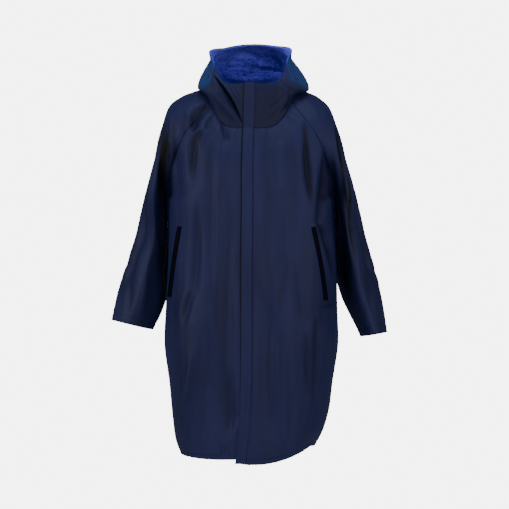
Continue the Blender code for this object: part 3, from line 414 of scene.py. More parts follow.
def spline(points, at, start=None, end=None):
    """Points on the smooth curve through the given ones; 1.5 lies halfway from the second to the third."""
    points = np.asarray(points, float)
    chord = np.maximum(np.linalg.norm(np.diff(points, axis=0), axis=-1, keepdims=True), 1e-6)
    slope = np.diff(points, axis=0) / chord
    tangent = np.empty_like(points)
    tangent[1:-1] = (slope[:-1] * chord[1:] + slope[1:] * chord[:-1]) / (chord[:-1] + chord[1:])
    tangent[0] = 1.5 * slope[0] - 0.5 * tangent[1] if start is None else start
    tangent[-1] = 1.5 * slope[-1] - 0.5 * tangent[-2] if end is None else end
    at = np.asarray(at, float)
    low = np.clip(np.floor(at).astype(int), 0, len(points) - 2)
    t = (at - low).reshape((-1,) + (1,) * (points.ndim - 1))
    h = chord[low]
    return (
        (1 + 2 * t) * (1 - t) ** 2 * points[low]
        + t * (1 - t) ** 2 * h * tangent[low]
        + t * t * (3 - 2 * t) * points[low + 1]
        + t * t * (t - 1) * h * tangent[low + 1]
    )


def across(rows, at, start, end):
    """A grid of points: each row's curve through its own columns, with given end directions."""
    return spline(rows.swapaxes(0, 1), at, start, end).swapaxes(0, 1)


def unit(v):
    v = np.asarray(v, float)
    return v / np.maximum(np.linalg.norm(v, axis=-1, keepdims=True), 1e-9)


def smooth_step(low, high, value):
    t = np.clip((value - low) / (high - low), 0, 1)
    return t * t * (3 - 2 * t)


def mirrored(points):
    return np.asarray(points, float) * (-1, 1, 1)


def row_places(counts):
    """Where the rows lie along the stations, with the given number of steps in each interval."""
    return np.concatenate([[0.0], *(i + np.arange(1, n + 1) / n for i, n in enumerate(counts))])


# ---------------------------------------------------------------- the robe's own net of points

YOKE_ROWS = row_places([YOKE_STEPS] * (len(YOKE) - 1))
BODY_ROWS = row_places([YOKE_STEPS] * (len(YOKE) - 1) + [s.rows * FINER_ROWS for s in BODY])
UNDERARM_ROW = YOKE_STEPS * (len(YOKE) - 1)
RAGLAN_END = UNDERARM_ROW - 2       # the last row of the raglan seams' sewing


def yoke_column(name, side):
    """One column of the yoke; the front middle isn't mirrored, because both fronts share it."""
    points = np.array([getattr(ring, name) for ring in YOKE], float)
    if side > 0 or name == "front_mid":
        return points
    if name in ("sleeve_front", "shoulder", "sleeve_back"):
        points[:, 0] += [ring.right_out for ring in YOKE]
    return mirrored(points)


def body_column(name, side):
    """The same column below the underarm, from the body sections."""
    found = []
    for s in BODY:
        half = s.left if side > 0 else s.right
        found.append({
            "front_mid": (s.mid, -s.front, s.z),
            "front_chest": (side * CORNER * half, s.side + CORNER * (-s.front - s.side), s.z),
            "front_seam": (side * half, s.side, s.z),
            "back_seam": (side * half, s.side, s.z),
            "back_blade": (side * CORNER * half, s.side + CORNER * (s.back - s.side), s.z),
            "back_mid": (0.0, s.back, s.z),
        }[name])
    return np.array(found, float)


def down(name, side, lower, places):
    """A column's rows. Seam columns turn at the underarm; the others run on smoothly."""
    upper = yoke_column(name, side)
    if not name.endswith("seam"):
        return spline(np.concatenate([upper, lower]), places)
    last = len(YOKE) - 1
    return np.concatenate([
        spline(upper, places[:UNDERARM_ROW + 1]),
        spline(np.concatenate([upper[-1:], lower]), places[UNDERARM_ROW + 1:] - last),
    ])


def torso_net(names):
    """Rows by columns, for (column, side) pairs, from the neck down to the hem."""
    return np.stack([down(n, s, body_column(n, s), BODY_ROWS) for n, s in names], axis=1)


def pinch_at(rows):
    """How sharply the cloth turns in at the raglan seam, row by row."""
    values = np.array([[ring.pinch] for ring in YOKE] + [[1.0]] * len(BODY))
    return np.interp(rows, np.arange(len(values)), values[:, 0])[:, None]


def seam_direction(before, seam, after, fold, pinch):
    """The direction in which a row crosses a seam: straight over it, or turned into the fold."""
    over = unit(unit(seam - before) + unit(after - seam))
    return unit((1 - pinch) * over + pinch * unit(fold))


def fold_lines(count, x, y, below):
    """The direction of the fold at the seam, row by row: (x, y) above the underarm, "below" under it."""
    lines = np.zeros((count, 3))
    lines[:, 1] = y
    lines[:, 0] = np.where(np.arange(count) < UNDERARM_ROW, x, below)
    lines[UNDERARM_ROW, 0] = (x + below) / 2
    return lines


def seam_neighbours(side):
    """Rows of the columns on each side of the raglan seams, down to the underarm and past it."""
    sleeve = {
        name: spline(yoke_column(name, side), YOKE_ROWS) for name in ("sleeve_front", "sleeve_back")
    }
    extra = len(BODY_ROWS) - len(YOKE_ROWS)
    return {name: np.concatenate([p, np.repeat(p[-1:], extra, axis=0)]) for name, p in sleeve.items()}


def front_places():
    """Where a front's columns stand, from 0 at the zip to 2 at the seams."""
    return 2 * np.linspace(0, 1, FRONT_COLUMNS + 1) ** FRONT_CROWD


def front_panel(side):
    """Half of the front, from its zip edge to its raglan and side seam."""
    rows = torso_net([("front_mid", side), ("front_chest", side), ("front_seam", side)])
    over = seam_neighbours(side)["sleeve_front"]
    pinch = pinch_at(BODY_ROWS)
    turn = fold_lines(len(rows), side * CLEFT_FRONT, 1, 0)
    end = seam_direction(rows[:, 1], rows[:, 2], over, turn, pinch)
    start = np.tile((side, 0.0, 0.0), (len(rows), 1))
    grid = across(rows, front_places(), start, end)
    return grid if side > 0 else grid[:, ::-1]


def back_panel():
    """The whole back, from the wearer's left side seam to the right one."""
    names = [("back_seam", 1), ("back_blade", 1), ("back_mid", 1), ("back_blade", -1), ("back_seam", -1)]
    rows = torso_net(names)
    pinch = pinch_at(BODY_ROWS)
    ends = []
    for side, seam, blade in ((1, rows[:, 0], rows[:, 1]), (-1, rows[:, 4], rows[:, 3])):
        over = seam_neighbours(side)["sleeve_back"]
        turn = fold_lines(len(rows), -side * CLEFT_FRONT, 1, 0)
        ends.append(seam_direction(over, seam, blade, turn, pinch))
    return across(rows, np.linspace(0, 4, BACK_COLUMNS + 1), ends[0], -ends[1])


def cuff_point(cuff, side, name):
    """A point of a tilted sleeve ring: at its underarm seam, front, outer side or back."""
    tilt = math.radians(cuff.tilt)
    half = (cuff.outer - cuff.inner) / 2
    out, y = {
        "sleeve_front": (0.0, cuff.y - cuff.deep), "shoulder": (half, cuff.y),
        "sleeve_back": (0.0, cuff.y + cuff.deep),
    }.get(name, (-half, cuff.seam_y))
    x = (cuff.outer + cuff.inner) / 2 + out * math.cos(tilt)
    return (side * x, y, cuff.z + out * math.sin(tilt))


def sleeve_panel(side):
    """A raglan sleeve, open above the underarm, where it runs up to the neck, and a tube below."""
    table = SLEEVE_LEFT if side > 0 else SLEEVE_RIGHT
    places = row_places([YOKE_STEPS] * (len(YOKE) - 1) + [cuff.rows * FINER_ROWS for cuff in table])
    rows = np.stack([
        down(name, side, np.array([cuff_point(cuff, side, name) for cuff in table]), places)
        for name in ("front_seam", "sleeve_front", "shoulder", "sleeve_back", "back_seam")
    ], axis=1)
    extra = len(rows) - len(YOKE_ROWS)
    pinch = np.concatenate([pinch_at(YOKE_ROWS), np.ones((extra, 1))])
    chest = spline(yoke_column("front_chest", side), YOKE_ROWS)
    blade = spline(yoke_column("back_blade", side), YOKE_ROWS)
    chest, blade = (np.concatenate([p, np.repeat(p[-1:], extra, axis=0)]) for p in (chest, blade))
    into = fold_lines(len(rows), side * CLEFT_SLEEVE, -1, side * CLEFT_INNER)
    out_of = fold_lines(len(rows), -side * CLEFT_SLEEVE, -1, 0)
    start = seam_direction(chest, rows[:, 0], rows[:, 1], into, pinch)
    end = seam_direction(rows[:, 3], rows[:, 4], blade, out_of, pinch)
    grid = across(rows, np.linspace(0, 4, SLEEVE_COLUMNS + 1), start, end)
    grid[UNDERARM_ROW:, -1] = grid[UNDERARM_ROW:, 0]
    return grid if side > 0 else grid[:, ::-1]


def hood_panel(neck):
    """The hood and collar, from the front edge on the wearer's left round the nape to the right."""
    names = Hood._fields[:7]
    left = [np.array([getattr(h, name) for h in HOOD], float) for name in names]
    right = []
    for name, column in zip(names, left):
        column = column.copy()
        if name in ("jowl", "side", "nape_side"):
            column[:, 0] -= [h.right_in for h in HOOD]
            column[:, 2] += [h.right_up for h in HOOD]
        right.append(column if name == "front_mid" else mirrored(column))
    columns = np.stack(left + right[-2::-1], axis=1)
    # The hood's columns stand at these places along the neck ring.
    stand = (0, 1, 2, 2.6, 3.4, 4, 6, 8, 8.6, 9.4, 10, 11, 12)
    spread = np.interp(neck_places(), stand, np.arange(len(stand)))
    side_x = np.tile((1.0, 0.0, 0.0), (len(HOOD), 1))
    rows = np.concatenate([neck[None], across(columns, spread, side_x, side_x)])
    return spline(rows, np.linspace(0, len(HOOD), HOOD_ROWS + 1))


def neck_places():
    """Each neck point's place: 0 to 2 the left front, 2 to 4 the sleeve, 4 to 8 the back, and so on."""
    front = front_places()
    sleeve = np.linspace(2, 4, SLEEVE_COLUMNS + 1)[1:]
    back = np.linspace(4, 8, BACK_COLUMNS + 1)[1:]
    other = np.linspace(8, 10, SLEEVE_COLUMNS + 1)[1:]
    last = 12 - front[-2::-1]
    return np.concatenate([front, sleeve, back, other, last])


def shaped_hem(grid, edge):
    """The hem's own line: level at the back, lower at the front edges, higher at the left side."""
    x, y, z = grid[..., 0], grid[..., 1], grid[..., 2]
    low = smooth_step(HEM_START, HEM_END, z)
    away = x - BODY[-1].mid
    reach = np.clip(np.where(away > 0, away / HEM_REACH["left"], -away / HEM_REACH["right"]), 0, 1)
    front = smooth_step(0.0, -0.10, y)
    lift = HEM_LIFT[edge]
    at_side = np.where(x > 0, HEM_LIFT["left_side"], HEM_LIFT["right_side"])
    ahead = lift + (at_side - lift) * reach ** HEM_BEND["front"] - HEM_SAG[edge] * np.sin(np.pi * reach)
    behind = HEM_LIFT["back"] + (at_side - HEM_LIFT["back"]) * reach ** HEM_BEND["back"]
    grid[..., 2] = z + low * (front * ahead + (1 - front) * behind)
    return grid


# ---------------------------------------------------------------- folds, normals and seams


def nearest_on(path, x, z):
    """Each point's distance from a path, how far along it the nearest place is, and on which side."""
    best, place, side = np.full(x.shape, np.inf), np.zeros(x.shape), np.ones(x.shape)
    for i in range(len(path) - 1):
        step = path[i + 1] - path[i]
        along, over = x - path[i, 0], z - path[i, 1]
        share = np.clip((along * step[0] + over * step[1]) / (step @ step), 0, 1)
        away = np.hypot(along - share * step[0], over - share * step[1])
        nearer = away < best
        best = np.where(nearer, away, best)
        place = np.where(nearer, (i + share) / (len(path) - 1), place)
        side = np.where(nearer, np.sign(along * step[1] - over * step[0]), side)
    return best, place, side


def fold_path(fold):
    """Points on the curve through a fold's three places."""
    t = np.linspace(0, 1, FOLD_STEPS + 1)[:, None]
    a, b, c = (np.array(p) for p in (fold.start, fold.middle, fold.end))
    return (1 - t) * (1 - 2 * t) * a + 4 * t * (1 - t) * b + t * (2 * t - 1) * c


def fold_depth(points, normals):
    """How far each point moves along its normal for the folds of the side that it faces."""
    x, z = points[..., 0], points[..., 2]
    depth = np.zeros(x.shape)
    # The stiff double edge under the storm flap stays flat.
    mids = [(s.z, s.mid) for s in reversed(BODY)]
    mids += [(ring.front_mid[2], ring.front_mid[0]) for ring in YOKE[::-1]]
    centre = np.interp(z, *np.transpose(mids))
    flat = (1 - smooth_step(*FLAT_EDGE, np.abs(x - centre))) * smooth_step(0.0, 0.5, -normals[..., 1])
    for fold in FOLDS:
        away, place, _ = nearest_on(fold_path(fold), x, z)
        faces = smooth_step(SIDE_FOLLOW, 0.6, fold.face * normals[..., 1])
        ends = np.sin(np.pi * np.clip(place, 0, 1))
        depth += fold.depth * np.exp(-((away / fold.width) ** 2)) * ends * faces
    return depth * (1 - flat)


def welded_normals(grids):
    """A normal for each grid point, shared by all the pieces that meet there."""
    flat = {name: np.round(grid.reshape(-1, 3), 6) for name, grid in grids.items()}
    _, index = np.unique(np.concatenate(list(flat.values())), axis=0, return_inverse=True)
    index = index.reshape(-1)
    total = np.zeros((index.max() + 1, 3))
    ids, first = {}, 0
    for name, grid in grids.items():
        count = grid.shape[0] * grid.shape[1]
        ids[name] = index[first:first + count].reshape(grid.shape[:2])
        first += count
        diagonal_a = grid[1:, 1:] - grid[:-1, :-1]
        diagonal_b = grid[:-1, 1:] - grid[1:, :-1]
        face = np.cross(diagonal_a, diagonal_b)
        for corner in (ids[name][:-1, :-1], ids[name][1:, :-1], ids[name][:-1, 1:], ids[name][1:, 1:]):
            np.add.at(total, corner, face)
    total = unit(total)
    return {name: total[ids[name]] for name in grids}


def at_border(edge):
    """The index of a grid's edge and of the line next to it."""
    return {
        "top": (np.s_[0, :], np.s_[1, :]), "bottom": (np.s_[-1, :], np.s_[-2, :]),
        "first": (np.s_[:, 0], np.s_[:, 1]), "last": (np.s_[:, -1], np.s_[:, -2]),
    }[edge]


def fitted(grid, own, shared, neck_run, edges, thick):
    """A grid and its offsets, with every seam edge mitred to meet its neighbour.

    An edge leans towards the seam's shared normal by no more than MITRE; where the pieces meet more
    sharply than that, the edge also moves back by as much as the wall's corner would overlap.
    """
    moved, out = grid.copy(), own.copy()
    for edge in edges:
        border, inner = at_border(edge)
        n, s = own[border], shared["top" if edge == "bottom" else edge][border]
        half = np.arccos(np.clip(np.sum(n * s, axis=-1, keepdims=True), -1, 1))
        half = np.minimum(half, math.radians(SHARPEST))
        lean = np.tan(np.minimum(half, math.radians(MITRE)))
        # Longer at a turn, so that the wall keeps its thickness.
        out[border] += lean * unit(s - n * np.sum(n * s, axis=-1, keepdims=True))
        back = thick / 2 * (np.tan(half) - lean)
        run = neck_run if edge in ("top", "bottom") else unit(np.gradient(grid[border], axis=0))
        square = unit(np.cross(run, n))
        inward = np.sum(square * (grid[inner] - grid[border]), axis=-1, keepdims=True)
        moved[border] += back * np.sign(inward) * square
    return moved, out


def cut_back(grid, edge, by):
    """The grid with one edge moved into the piece along its own rows."""
    border, inner = at_border(edge)
    moved = grid.copy()
    moved[border] += by * unit(grid[inner] - grid[border])
    return moved


# ---------------------------------------------------------------- creases, hems and the whole net

# For each side: the axis that runs across the view of it, and the way that cloth faces there.
VIEWS = {"front": (0, -1), "back": (0, 1), "left": (1, 1), "right": (1, -1)}
KINDS = {"front": "torso", "back": "torso", "sleeve": "sleeves", "hood": "hood"}

# Shape of every crease. Distances across it are in half widths, after it is narrowed.
CREASE_GAIN = 1.6       # times the depth in the table
CREASE_NARROW = 1.1
RIDGE_AT, RIDGE_WIDTH = 1.5, 1.1        # the softer ridge beside a leaning crease
SLOPE_DARK, SLOPE_CLEAR = 1.1, 0.15     # painted shade of a crease for its slope, less what stays clear
DARK_MOST = 0.55        # most painted shade for its slope alone
DARK_BROAD = 0.4        # above this the painted shade fills all its bottom, else its middle


def uneven(u, v, seed):
    """A smooth uneven value between -1 and 1 that changes over about one unit of u and v."""
    total = np.zeros(np.broadcast(u, v).shape)
    for k in range(4):
        a = 0.7 + 0.9 * k + 0.37 * math.sin(seed * 1.7 + k)
        b = 0.6 + 0.8 * k + 0.41 * math.cos(seed * 2.3 + k * 1.9)
        total = total + np.sin(a * u * 2.1 + seed * 5.1 + k * 2.4 + 1.3 * np.sin(b * v + seed)) * np.sin(
            b * v * 1.9 + seed * 3.7 + k * 1.1 + 0.9 * np.sin(a * u * 0.7 + k)) / (1 + 0.6 * k)
    return total / 1.9


def darkness(crease, across_it, push):
    """How much painted shade lies across one crease, for distances across it and how far it is worked out.
    """
    dark = crease.dark
    if dark is None:
        dark = min(DARK_MOST, max(0.0, -SLOPE_DARK * crease.depth / crease.width - SLOPE_CLEAR))
    band = np.exp(-((across_it * 0.9) ** 4 if abs(dark) > DARK_BROAD else (across_it * 1.15) ** 2))
    return np.clip(1.6 * push, 0, 1) * band * dark


def crease_depth(creases, piece, points, normals):
    """How far each point moves along its normal for its piece's creases, and the painted shade in them."""
    depth, hollow = np.zeros(points.shape[:2]), np.zeros(points.shape[:2])
    kind = KINDS[piece.split("_")[0]]
    for number, crease in enumerate(creases):
        if crease.on not in ("all", kind):
            continue
        axis, sign = VIEWS[crease.seen]
        flat, faces, height = points[..., axis], sign * normals[..., 1 - axis], points[..., 2]
        knots = np.array(crease.path, float)
        path = spline(knots, np.linspace(0, len(knots) - 1, 8 * (len(knots) - 1) + 1))
        reach = 4 * crease.width
        near = (
            (flat > path[:, 0].min() - reach) & (flat < path[:, 0].max() + reach)
            & (height > path[:, 1].min() - reach) & (height < path[:, 1].max() + reach)
            & (faces > SIDE_FOLLOW)
        )
        if not near.any():
            continue
        best, place, side = nearest_on(path, flat[near], height[near])
        # Width and depth wander along the crease, and both run out at its ends.
        wander = uneven(place * 3.0, np.zeros_like(place), number + 1.0)
        width = crease.width * (0.75 + 0.5 * np.sin(np.pi * place) + 0.15 * wander)
        across_it = (best * side / width + 0.25 * wander) * CREASE_NARROW
        ridge = np.exp(-((across_it - RIDGE_AT * np.sign(crease.lean)) / RIDGE_WIDTH) ** 2)
        shape = np.exp(-across_it ** 2) - abs(crease.lean) * ridge
        ends = np.sin(np.pi * np.clip(place, 0, 1)) ** 0.8 * (1 + 0.3 * wander)
        push = ends * smooth_step(SIDE_FOLLOW, 0.5, faces[near])
        depth[near] += CREASE_GAIN * crease.depth * shape * push
        dark = darkness(crease, across_it, push)
        hollow[near] = np.where(np.abs(dark) > np.abs(hollow[near]), dark, hollow[near])
    return depth, hollow


# Shallow unevenness of cloth that hangs: how high, how quickly it changes round the piece and down
# it, and its seed. It is long and upright on the body and shorter on the sleeves.
Slack = namedtuple("Slack", "height around down seed")
SLACK = {
    "torso": (Slack(0.0013, 6.5, 2.6, 2.0), Slack(0.0006, 14, 6.0, 3.0)),
    "sleeves": (Slack(0.0012, 2.2, 9, 4.0), Slack(0.0006, 5, 22, 7.0)),
    "hood": (Slack(0.0008, 3, 24, 5.0),),
}


def slack(piece, points):
    """How far each point moves along its normal because the cloth hangs loosely."""
    x, y, z = points[..., 0], points[..., 1], points[..., 2]
    kind = KINDS[piece.split("_")[0]]
    round_it = (np.abs(x) - 0.31) * 14 + y * 9 if kind == "sleeves" else np.arctan2(x, -y)
    return sum(w.height * uneven(round_it * w.around, z * w.down, w.seed) for w in SLACK[kind])


def turned(grid, edge):
    """The same grid, seen so that this edge is its first row."""
    grid = grid if edge in ("top", "bottom") else grid.swapaxes(0, 1)
    return grid if edge in ("top", "first") else grid[::-1]


def run_from(grid, edge):
    """How far each point lies from one edge of its grid, measured along the cloth."""
    step = np.linalg.norm(np.diff(turned(grid, edge), axis=0), axis=2)
    run = np.concatenate([np.zeros((1, step.shape[1])), np.cumsum(step, axis=0)])
    run = run if edge in ("top", "first") else run[::-1]
    return run if edge in ("top", "bottom") else run.T


SEWN_DIP = 0.0007       # how deep the thread lies in the cloth
SEWN_DOUBLED = 0.0005   # how much the turned-in cloth stands out between its edge and the sewing
PUCKER = (0.013, 0.06)  # one pucker's length along the sewing, and how slowly it changes across it
SEWN_DARK = 0.35        # painted shade on the cloth in the thread's dip


def sewn(away, seed, along, depth, puckers):
    """A line of sewing: a narrow dip at the thread, doubled cloth below it, small puckers beside it."""
    dip = -SEWN_DIP * np.exp(-((away - depth) / 0.0022) ** 2)
    doubled = SEWN_DOUBLED * (1 - smooth_step(depth - 0.003, depth, away))
    wave = uneven(along / PUCKER[0], away / PUCKER[1], seed) * np.exp(-((away - depth) / 0.012) ** 2)
    return dip + doubled + puckers * wave


def sewn_dark(away, depth):
    """The painted shade along a line of sewing, in the dip of its thread."""
    return SEWN_DARK * np.exp(-((away - depth) / 0.0020) ** 2)


PANELS = ("front_left", "sleeve_left", "back", "sleeve_right", "front_right")    # round the neck
SEAMS = {
    "front_left": ("top", "last"), "front_right": ("top", "first"), "back": ("top", "first", "last"),
    "sleeve_left": ("top", "first", "last"), "sleeve_right": ("top", "first", "last"),
    "hood_side_left": ("bottom", "last"), "hood_centre": ("bottom", "first", "last"),
    "hood_side_right": ("bottom", "first"),
}
ZIP_EDGES = {
    "front_left": "first", "front_right": "last", "hood_side_left": "first", "hood_side_right": "last",
}
# Sewing along each free edge: which edge, how far in, its seed and the height of its puckers.
SEWN_EDGES = {
    "front": ("bottom", HEM_DEPTH, 1.0, 0.0007), "back": ("bottom", HEM_DEPTH, 1.0, 0.0007),
    "sleeve": ("bottom", CUFF_DEPTH, 2.0, 0.0006), "hood": ("top", RIM_DEPTH, 3.0, 0.0003),
}
# Shade of the storm flap's raised edge: the edge beside it and how dark.
FLAP_SHADE = {"front_right": ("last", 1.0), "front_left": ("first", 0.45), "hood": ("last", 0.8)}
FLAP_SHADE_OFF, FLAP_SHADE_HALF = 0.0014, 0.0032    # from the flap's edge to its middle, and half of it
FLAP_SHADE_FADE = (-1.05, -0.62)        # heights between which it comes in, from the hem up
RAGLAN_DARK, NECK_DARK, COLLAR_DARK = 0.25, 0.20, 0.34      # painted shade at those seams, and on the collar's front
Net = namedtuple("Net", "grids own at_neck at_raglan neck_run hollows")


def neck_ring(grids):
    """The neck seam, once round from the left front's zip edge to the right one's."""
    return np.concatenate([grids[PANELS[0]][0]] + [grids[name][0, 1:] for name in PANELS[1:]])


def smooth_panels():
    """Every panel's middle surface before its folds; the hood's rows start at its rim."""
    grids = {
        "front_left": shaped_hem(front_panel(1), "left_edge"),
        "sleeve_left": sleeve_panel(1),
        "back": shaped_hem(back_panel(), "back"),
        "sleeve_right": sleeve_panel(-1),
        "front_right": shaped_hem(front_panel(-1), "right_edge"),
    }
    grids["hood"] = hood_panel(neck_ring(grids))[::-1]
    return grids


def folded_panel(name, grid, normals):
    """A panel with its folds, creases, slack and sewn edge, and the painted shade in them."""
    depth, hollow = crease_depth(CREASES, name, grid, normals)
    depth += fold_depth(grid, normals) + slack(name, grid)
    edge, far, seed, puckers = SEWN_EDGES[name.split("_")[0]]
    away = run_from(grid, edge)
    depth += sewn(away, seed, run_from(grid, "first"), far, puckers)
    if name != "hood":
        hollow = np.maximum(hollow, sewn_dark(away, far))
    return grid + normals * depth[..., None], hollow


def add_shade(grids, own, hollows):
    """Paint shade beside the flap, at the seams and on the collar, and a painted highlight on the hood's
    sides.
    """
    for name, (edge, dark) in FLAP_SHADE.items():
        past = run_from(grids[name], edge) - FLAP_WIDTH / 2
        beside = np.exp(-((past - FLAP_SHADE_OFF) / FLAP_SHADE_HALF) ** 4)
        beside *= smooth_step(*FLAP_SHADE_FADE, grids[name][..., 2])
        hollows[name] = np.maximum(hollows[name], dark * beside)
    # Painted shade: a thin dark line along the raglan and neck seams.
    for name in PANELS:
        for edge in SEAMS[name]:
            near = run_from(grids[name], edge) < SEAM_LINE
            if edge != "top":
                near[UNDERARM_ROW + 1:] = False
            dark = np.maximum(hollows[name], NECK_DARK if edge == "top" else RAGLAN_DARK)
            hollows[name] = np.where(near, dark, hollows[name])
    out, z = own["hood"], grids["hood"][..., 2]
    # Painted shade on the collar's front.
    collar = COLLAR_DARK * smooth_step(0.5, 0.9, -out[..., 1]) * smooth_step(0.030, -0.010, z)
    hood = np.maximum(hollows["hood"], collar)
    # Painted highlight where the cloth hangs out at the hood's sides, ahead of the crown.
    pale = smooth_step(-0.040, 0.020, z) * smooth_step(0.20, 0.80, np.abs(out[..., 0]))
    pale *= smooth_step(0.25, -0.35, out[..., 1])
    hollows["hood"] = hood - pale * (1 - smooth_step(0.0, 0.6, hood))


@functools.lru_cache(maxsize=None)
def robe_net():
    """Every panel's middle surface, its own and its shared directions out of the cloth, and its shade."""
    grids, hollows = smooth_panels(), {}
    normals = welded_normals(grids)
    for name, grid in grids.items():
        grids[name], hollows[name] = folded_panel(name, grid, normals[name])
    own = {name: welded_normals({name: grid})[name] for name, grid in grids.items()}
    add_shade(grids, own, hollows)
    at_neck = welded_normals(grids)
    at_raglan = welded_normals({name: grids[name] for name in PANELS})
    at_raglan["hood"] = own["hood"]
    ring = unit(np.gradient(neck_ring(grids), axis=0))
    neck_run, first = {"hood": ring}, 0
    for name in PANELS:
        neck_run[name] = ring[first:first + grids[name].shape[1]]
        first += grids[name].shape[1] - 1
    # The hood's centre panel starts and ends behind the shoulders.
    last = len(ring) - 1
    cut = FRONT_COLUMNS + SLEEVE_COLUMNS * 3 // 4
    for name, low, high in (
        ("hood_side_left", 0, cut), ("hood_centre", cut, last - cut), ("hood_side_right", last - cut, last),
    ):
        for table in (grids, own, at_neck, at_raglan, hollows):
            table[name] = table["hood"][:, low:high + 1]
        neck_run[name] = ring[low:high + 1]
    return Net(grids, own, at_neck, at_raglan, neck_run, hollows)


@functools.lru_cache(maxsize=None)
def panel_shape(name):
    """A panel's middle surface and offsets, mitred to its neighbours, and where its tube starts."""
    net = robe_net()
    thick = HOOD_SHELL if name.startswith("hood") else SHELL
    shared = {"top": net.at_neck[name], "first": net.at_raglan[name], "last": net.at_raglan[name]}
    middle, out = fitted(net.grids[name], net.own[name], shared, net.neck_run[name], SEAMS[name], thick)
    tube = None
    if name.startswith("sleeve"):
        tube = UNDERARM_ROW + 1
        middle[tube:, [0, -1]] = net.grids[name][tube:, [0, -1]]
        seam = unit(net.own[name][tube:, 0] + net.own[name][tube:, -1])
        out[tube:, 0] = out[tube:, -1] = seam
        ease = UNDERARM_EASE if name == "sleeve_left" else -UNDERARM_EASE
        middle[UNDERARM_ROW:tube + 1, [0, -1], 0] += ease
    if name in ZIP_EDGES:
        middle = cut_back(middle, ZIP_EDGES[name], ZIP_SLOT / 2)
    return middle, out, thick, tube


# ---------------------------------------------------------------- making pieces


def linked(name, data):
    """A new object in the scene."""
    made = bpy.data.objects.new(name, data)
    bpy.context.scene.collection.objects.link(made)
    return made


def shell_mesh(name, middle, out, thick, tube=None, hollow=None):
    """A closed thin shell around a grid, with a map in metres along the cloth for its weave.

    Its points hold painted shade: 1 in a crease's bottom, 0 on open cloth, below 0 a painted highlight.
    """
    rows, columns = middle.shape[:2]
    half = out * thick / 2
    points = np.concatenate([(middle + half).reshape(-1, 3), (middle - half).reshape(-1, 3)])
    layer = rows * columns
    index = np.arange(layer).reshape(rows, columns)
    u, v = run_from(middle, "first"), run_from(middle, "top")
    u = u - u[:, columns // 2:columns // 2 + 1]
    cloth = np.stack([u, v], axis=-1).reshape(-1, 2)
    welded = np.arange(2 * layer)
    if tube is not None:
        for first in (0, layer):
            welded[first + index[tube:, -1]] = first + index[tube:, 0]
    squares = (index[:-1, :-1], index[1:, :-1], index[1:, 1:], index[:-1, 1:])
    quads = np.stack(squares, axis=-1).reshape(-1, 4)
    corners = [quads, quads[:, ::-1] + layer]
    open_rows = rows if tube is None else tube + 1
    for line, turn in (
        (index[0], 1), (index[-1], -1), (index[:open_rows, 0], -1), (index[:open_rows, -1], 1),
    ):
        a, b = line[:-1], line[1:]
        corners.append(np.stack([a, b, b + layer, a + layer], axis=-1)[:, ::turn])
    corners = np.concatenate(corners)
    used, place = np.unique(welded[corners], return_inverse=True)
    mesh = bpy.data.meshes.new(name)
    mesh.from_pydata(points[used].tolist(), [], place.reshape(-1, 4).tolist())
    uv = mesh.uv_layers.new(name="cloth")
    uv.data.foreach_set("uv", np.concatenate([cloth, cloth])[corners.reshape(-1)].reshape(-1))
    mesh.polygons.foreach_set("use_smooth", np.ones(len(mesh.polygons), bool))
    shade = np.zeros(layer) if hollow is None else hollow.reshape(-1)
    shade = np.concatenate([shade, shade])[used].astype(np.float32)
    mesh.attributes.new("hollow", "FLOAT", "POINT").data.foreach_set("value", shade)
    mesh.update()
    return linked(name, mesh)


# ---------------------------------------------------------------- strips and stitches


def run_along(line):
    """How far along a line each of its points lies."""
    return np.concatenate([[0.0], np.cumsum(np.linalg.norm(np.diff(line, axis=0), axis=1))])


def at_distance(distance, run, values):
    """Points or directions at these distances along the run of a line that has them."""
    return np.stack([np.interp(distance, run, values[:, k]) for k in range(3)], axis=-1)


def centre_strip(left, right, left_out, width, lift, steps):
    """A strip's grid down the front edges, from the rows of the pieces on each side of them."""
    strip = []
    for to_left, to_right, out, up in zip(left, right, left_out[:, 0], np.broadcast_to(lift, len(left))):
        points, run_left, run_right = [], run_along(to_left), run_along(to_right)
        for share in np.linspace(-1, 1, steps):
            if share < 0:
                over = at_distance(-share * width / 2, run_right, to_right)
                points.append(to_left[0] + over - to_right[0])
            else:
                points.append(at_distance(share * width / 2, run_left, to_left))
        strip.append([p + out * up for p in points])
    strip = np.array(strip)
    return strip, welded_normals({"strip": strip})["strip"]


def triangles(grid):
    """The first, second and third corners of a grid's triangles, two to each of its squares."""
    a, b, c, d = grid[:-1, :-1], grid[1:, :-1], grid[1:, 1:], grid[:-1, 1:]
    return [np.concatenate([p.reshape(-1, 3), q.reshape(-1, 3)]) for p, q in ((a, a), (b, c), (c, d))]


def on_panel(panel, normals, wanted):
    """The panel's own points and normals where looks from the front meet it at (x, z) places."""
    corners, outs_there = triangles(panel), triangles(normals)
    ax, az = corners[0][:, 0], corners[0][:, 2]
    bx, bz, dx, dz = (corners[k][:, axis] - corners[0][:, axis] for k in (1, 2) for axis in (0, 2))
    area = bx * dz - dx * bz
    # Triangles seen edge on have no area from the front and hold no place.
    area = np.where(np.abs(area) < 1e-12, 1e-12, area)
    places, outs = [], []
    for x, z in wanted:
        s = ((x - ax) * dz - dx * (z - az)) / area
        t = (bx * (z - az) - (x - ax) * bz) / area
        inside = np.flatnonzero((s >= -1e-6) & (t >= -1e-6) & (s + t <= 1 + 1e-6) & (np.abs(area) > 1e-11))
        if not len(inside):
            raise ValueError(f"no part of the panel lies at {(x, z)}")
        i = inside[0]
        share = np.array((1 - s[i] - t[i], s[i], t[i]))
        places.append(share @ np.array([corner[i] for corner in corners]))
        outs.append(unit(share @ np.array([out[i] for out in outs_there])))
    return np.array(places), np.array(outs)


def pocket_line(name):
    """The middle line of a pocket's zip, as (x, 0, z) seen from the front, and the direction across it."""
    line = spline([(x, 0.0, z) for x, z in POCKETS[name]], np.linspace(0, 2, POCKET_STEPS + 1))
    along = unit(np.gradient(line, axis=0))
    return line, unit(np.cross(along, (0, 1, 0)))


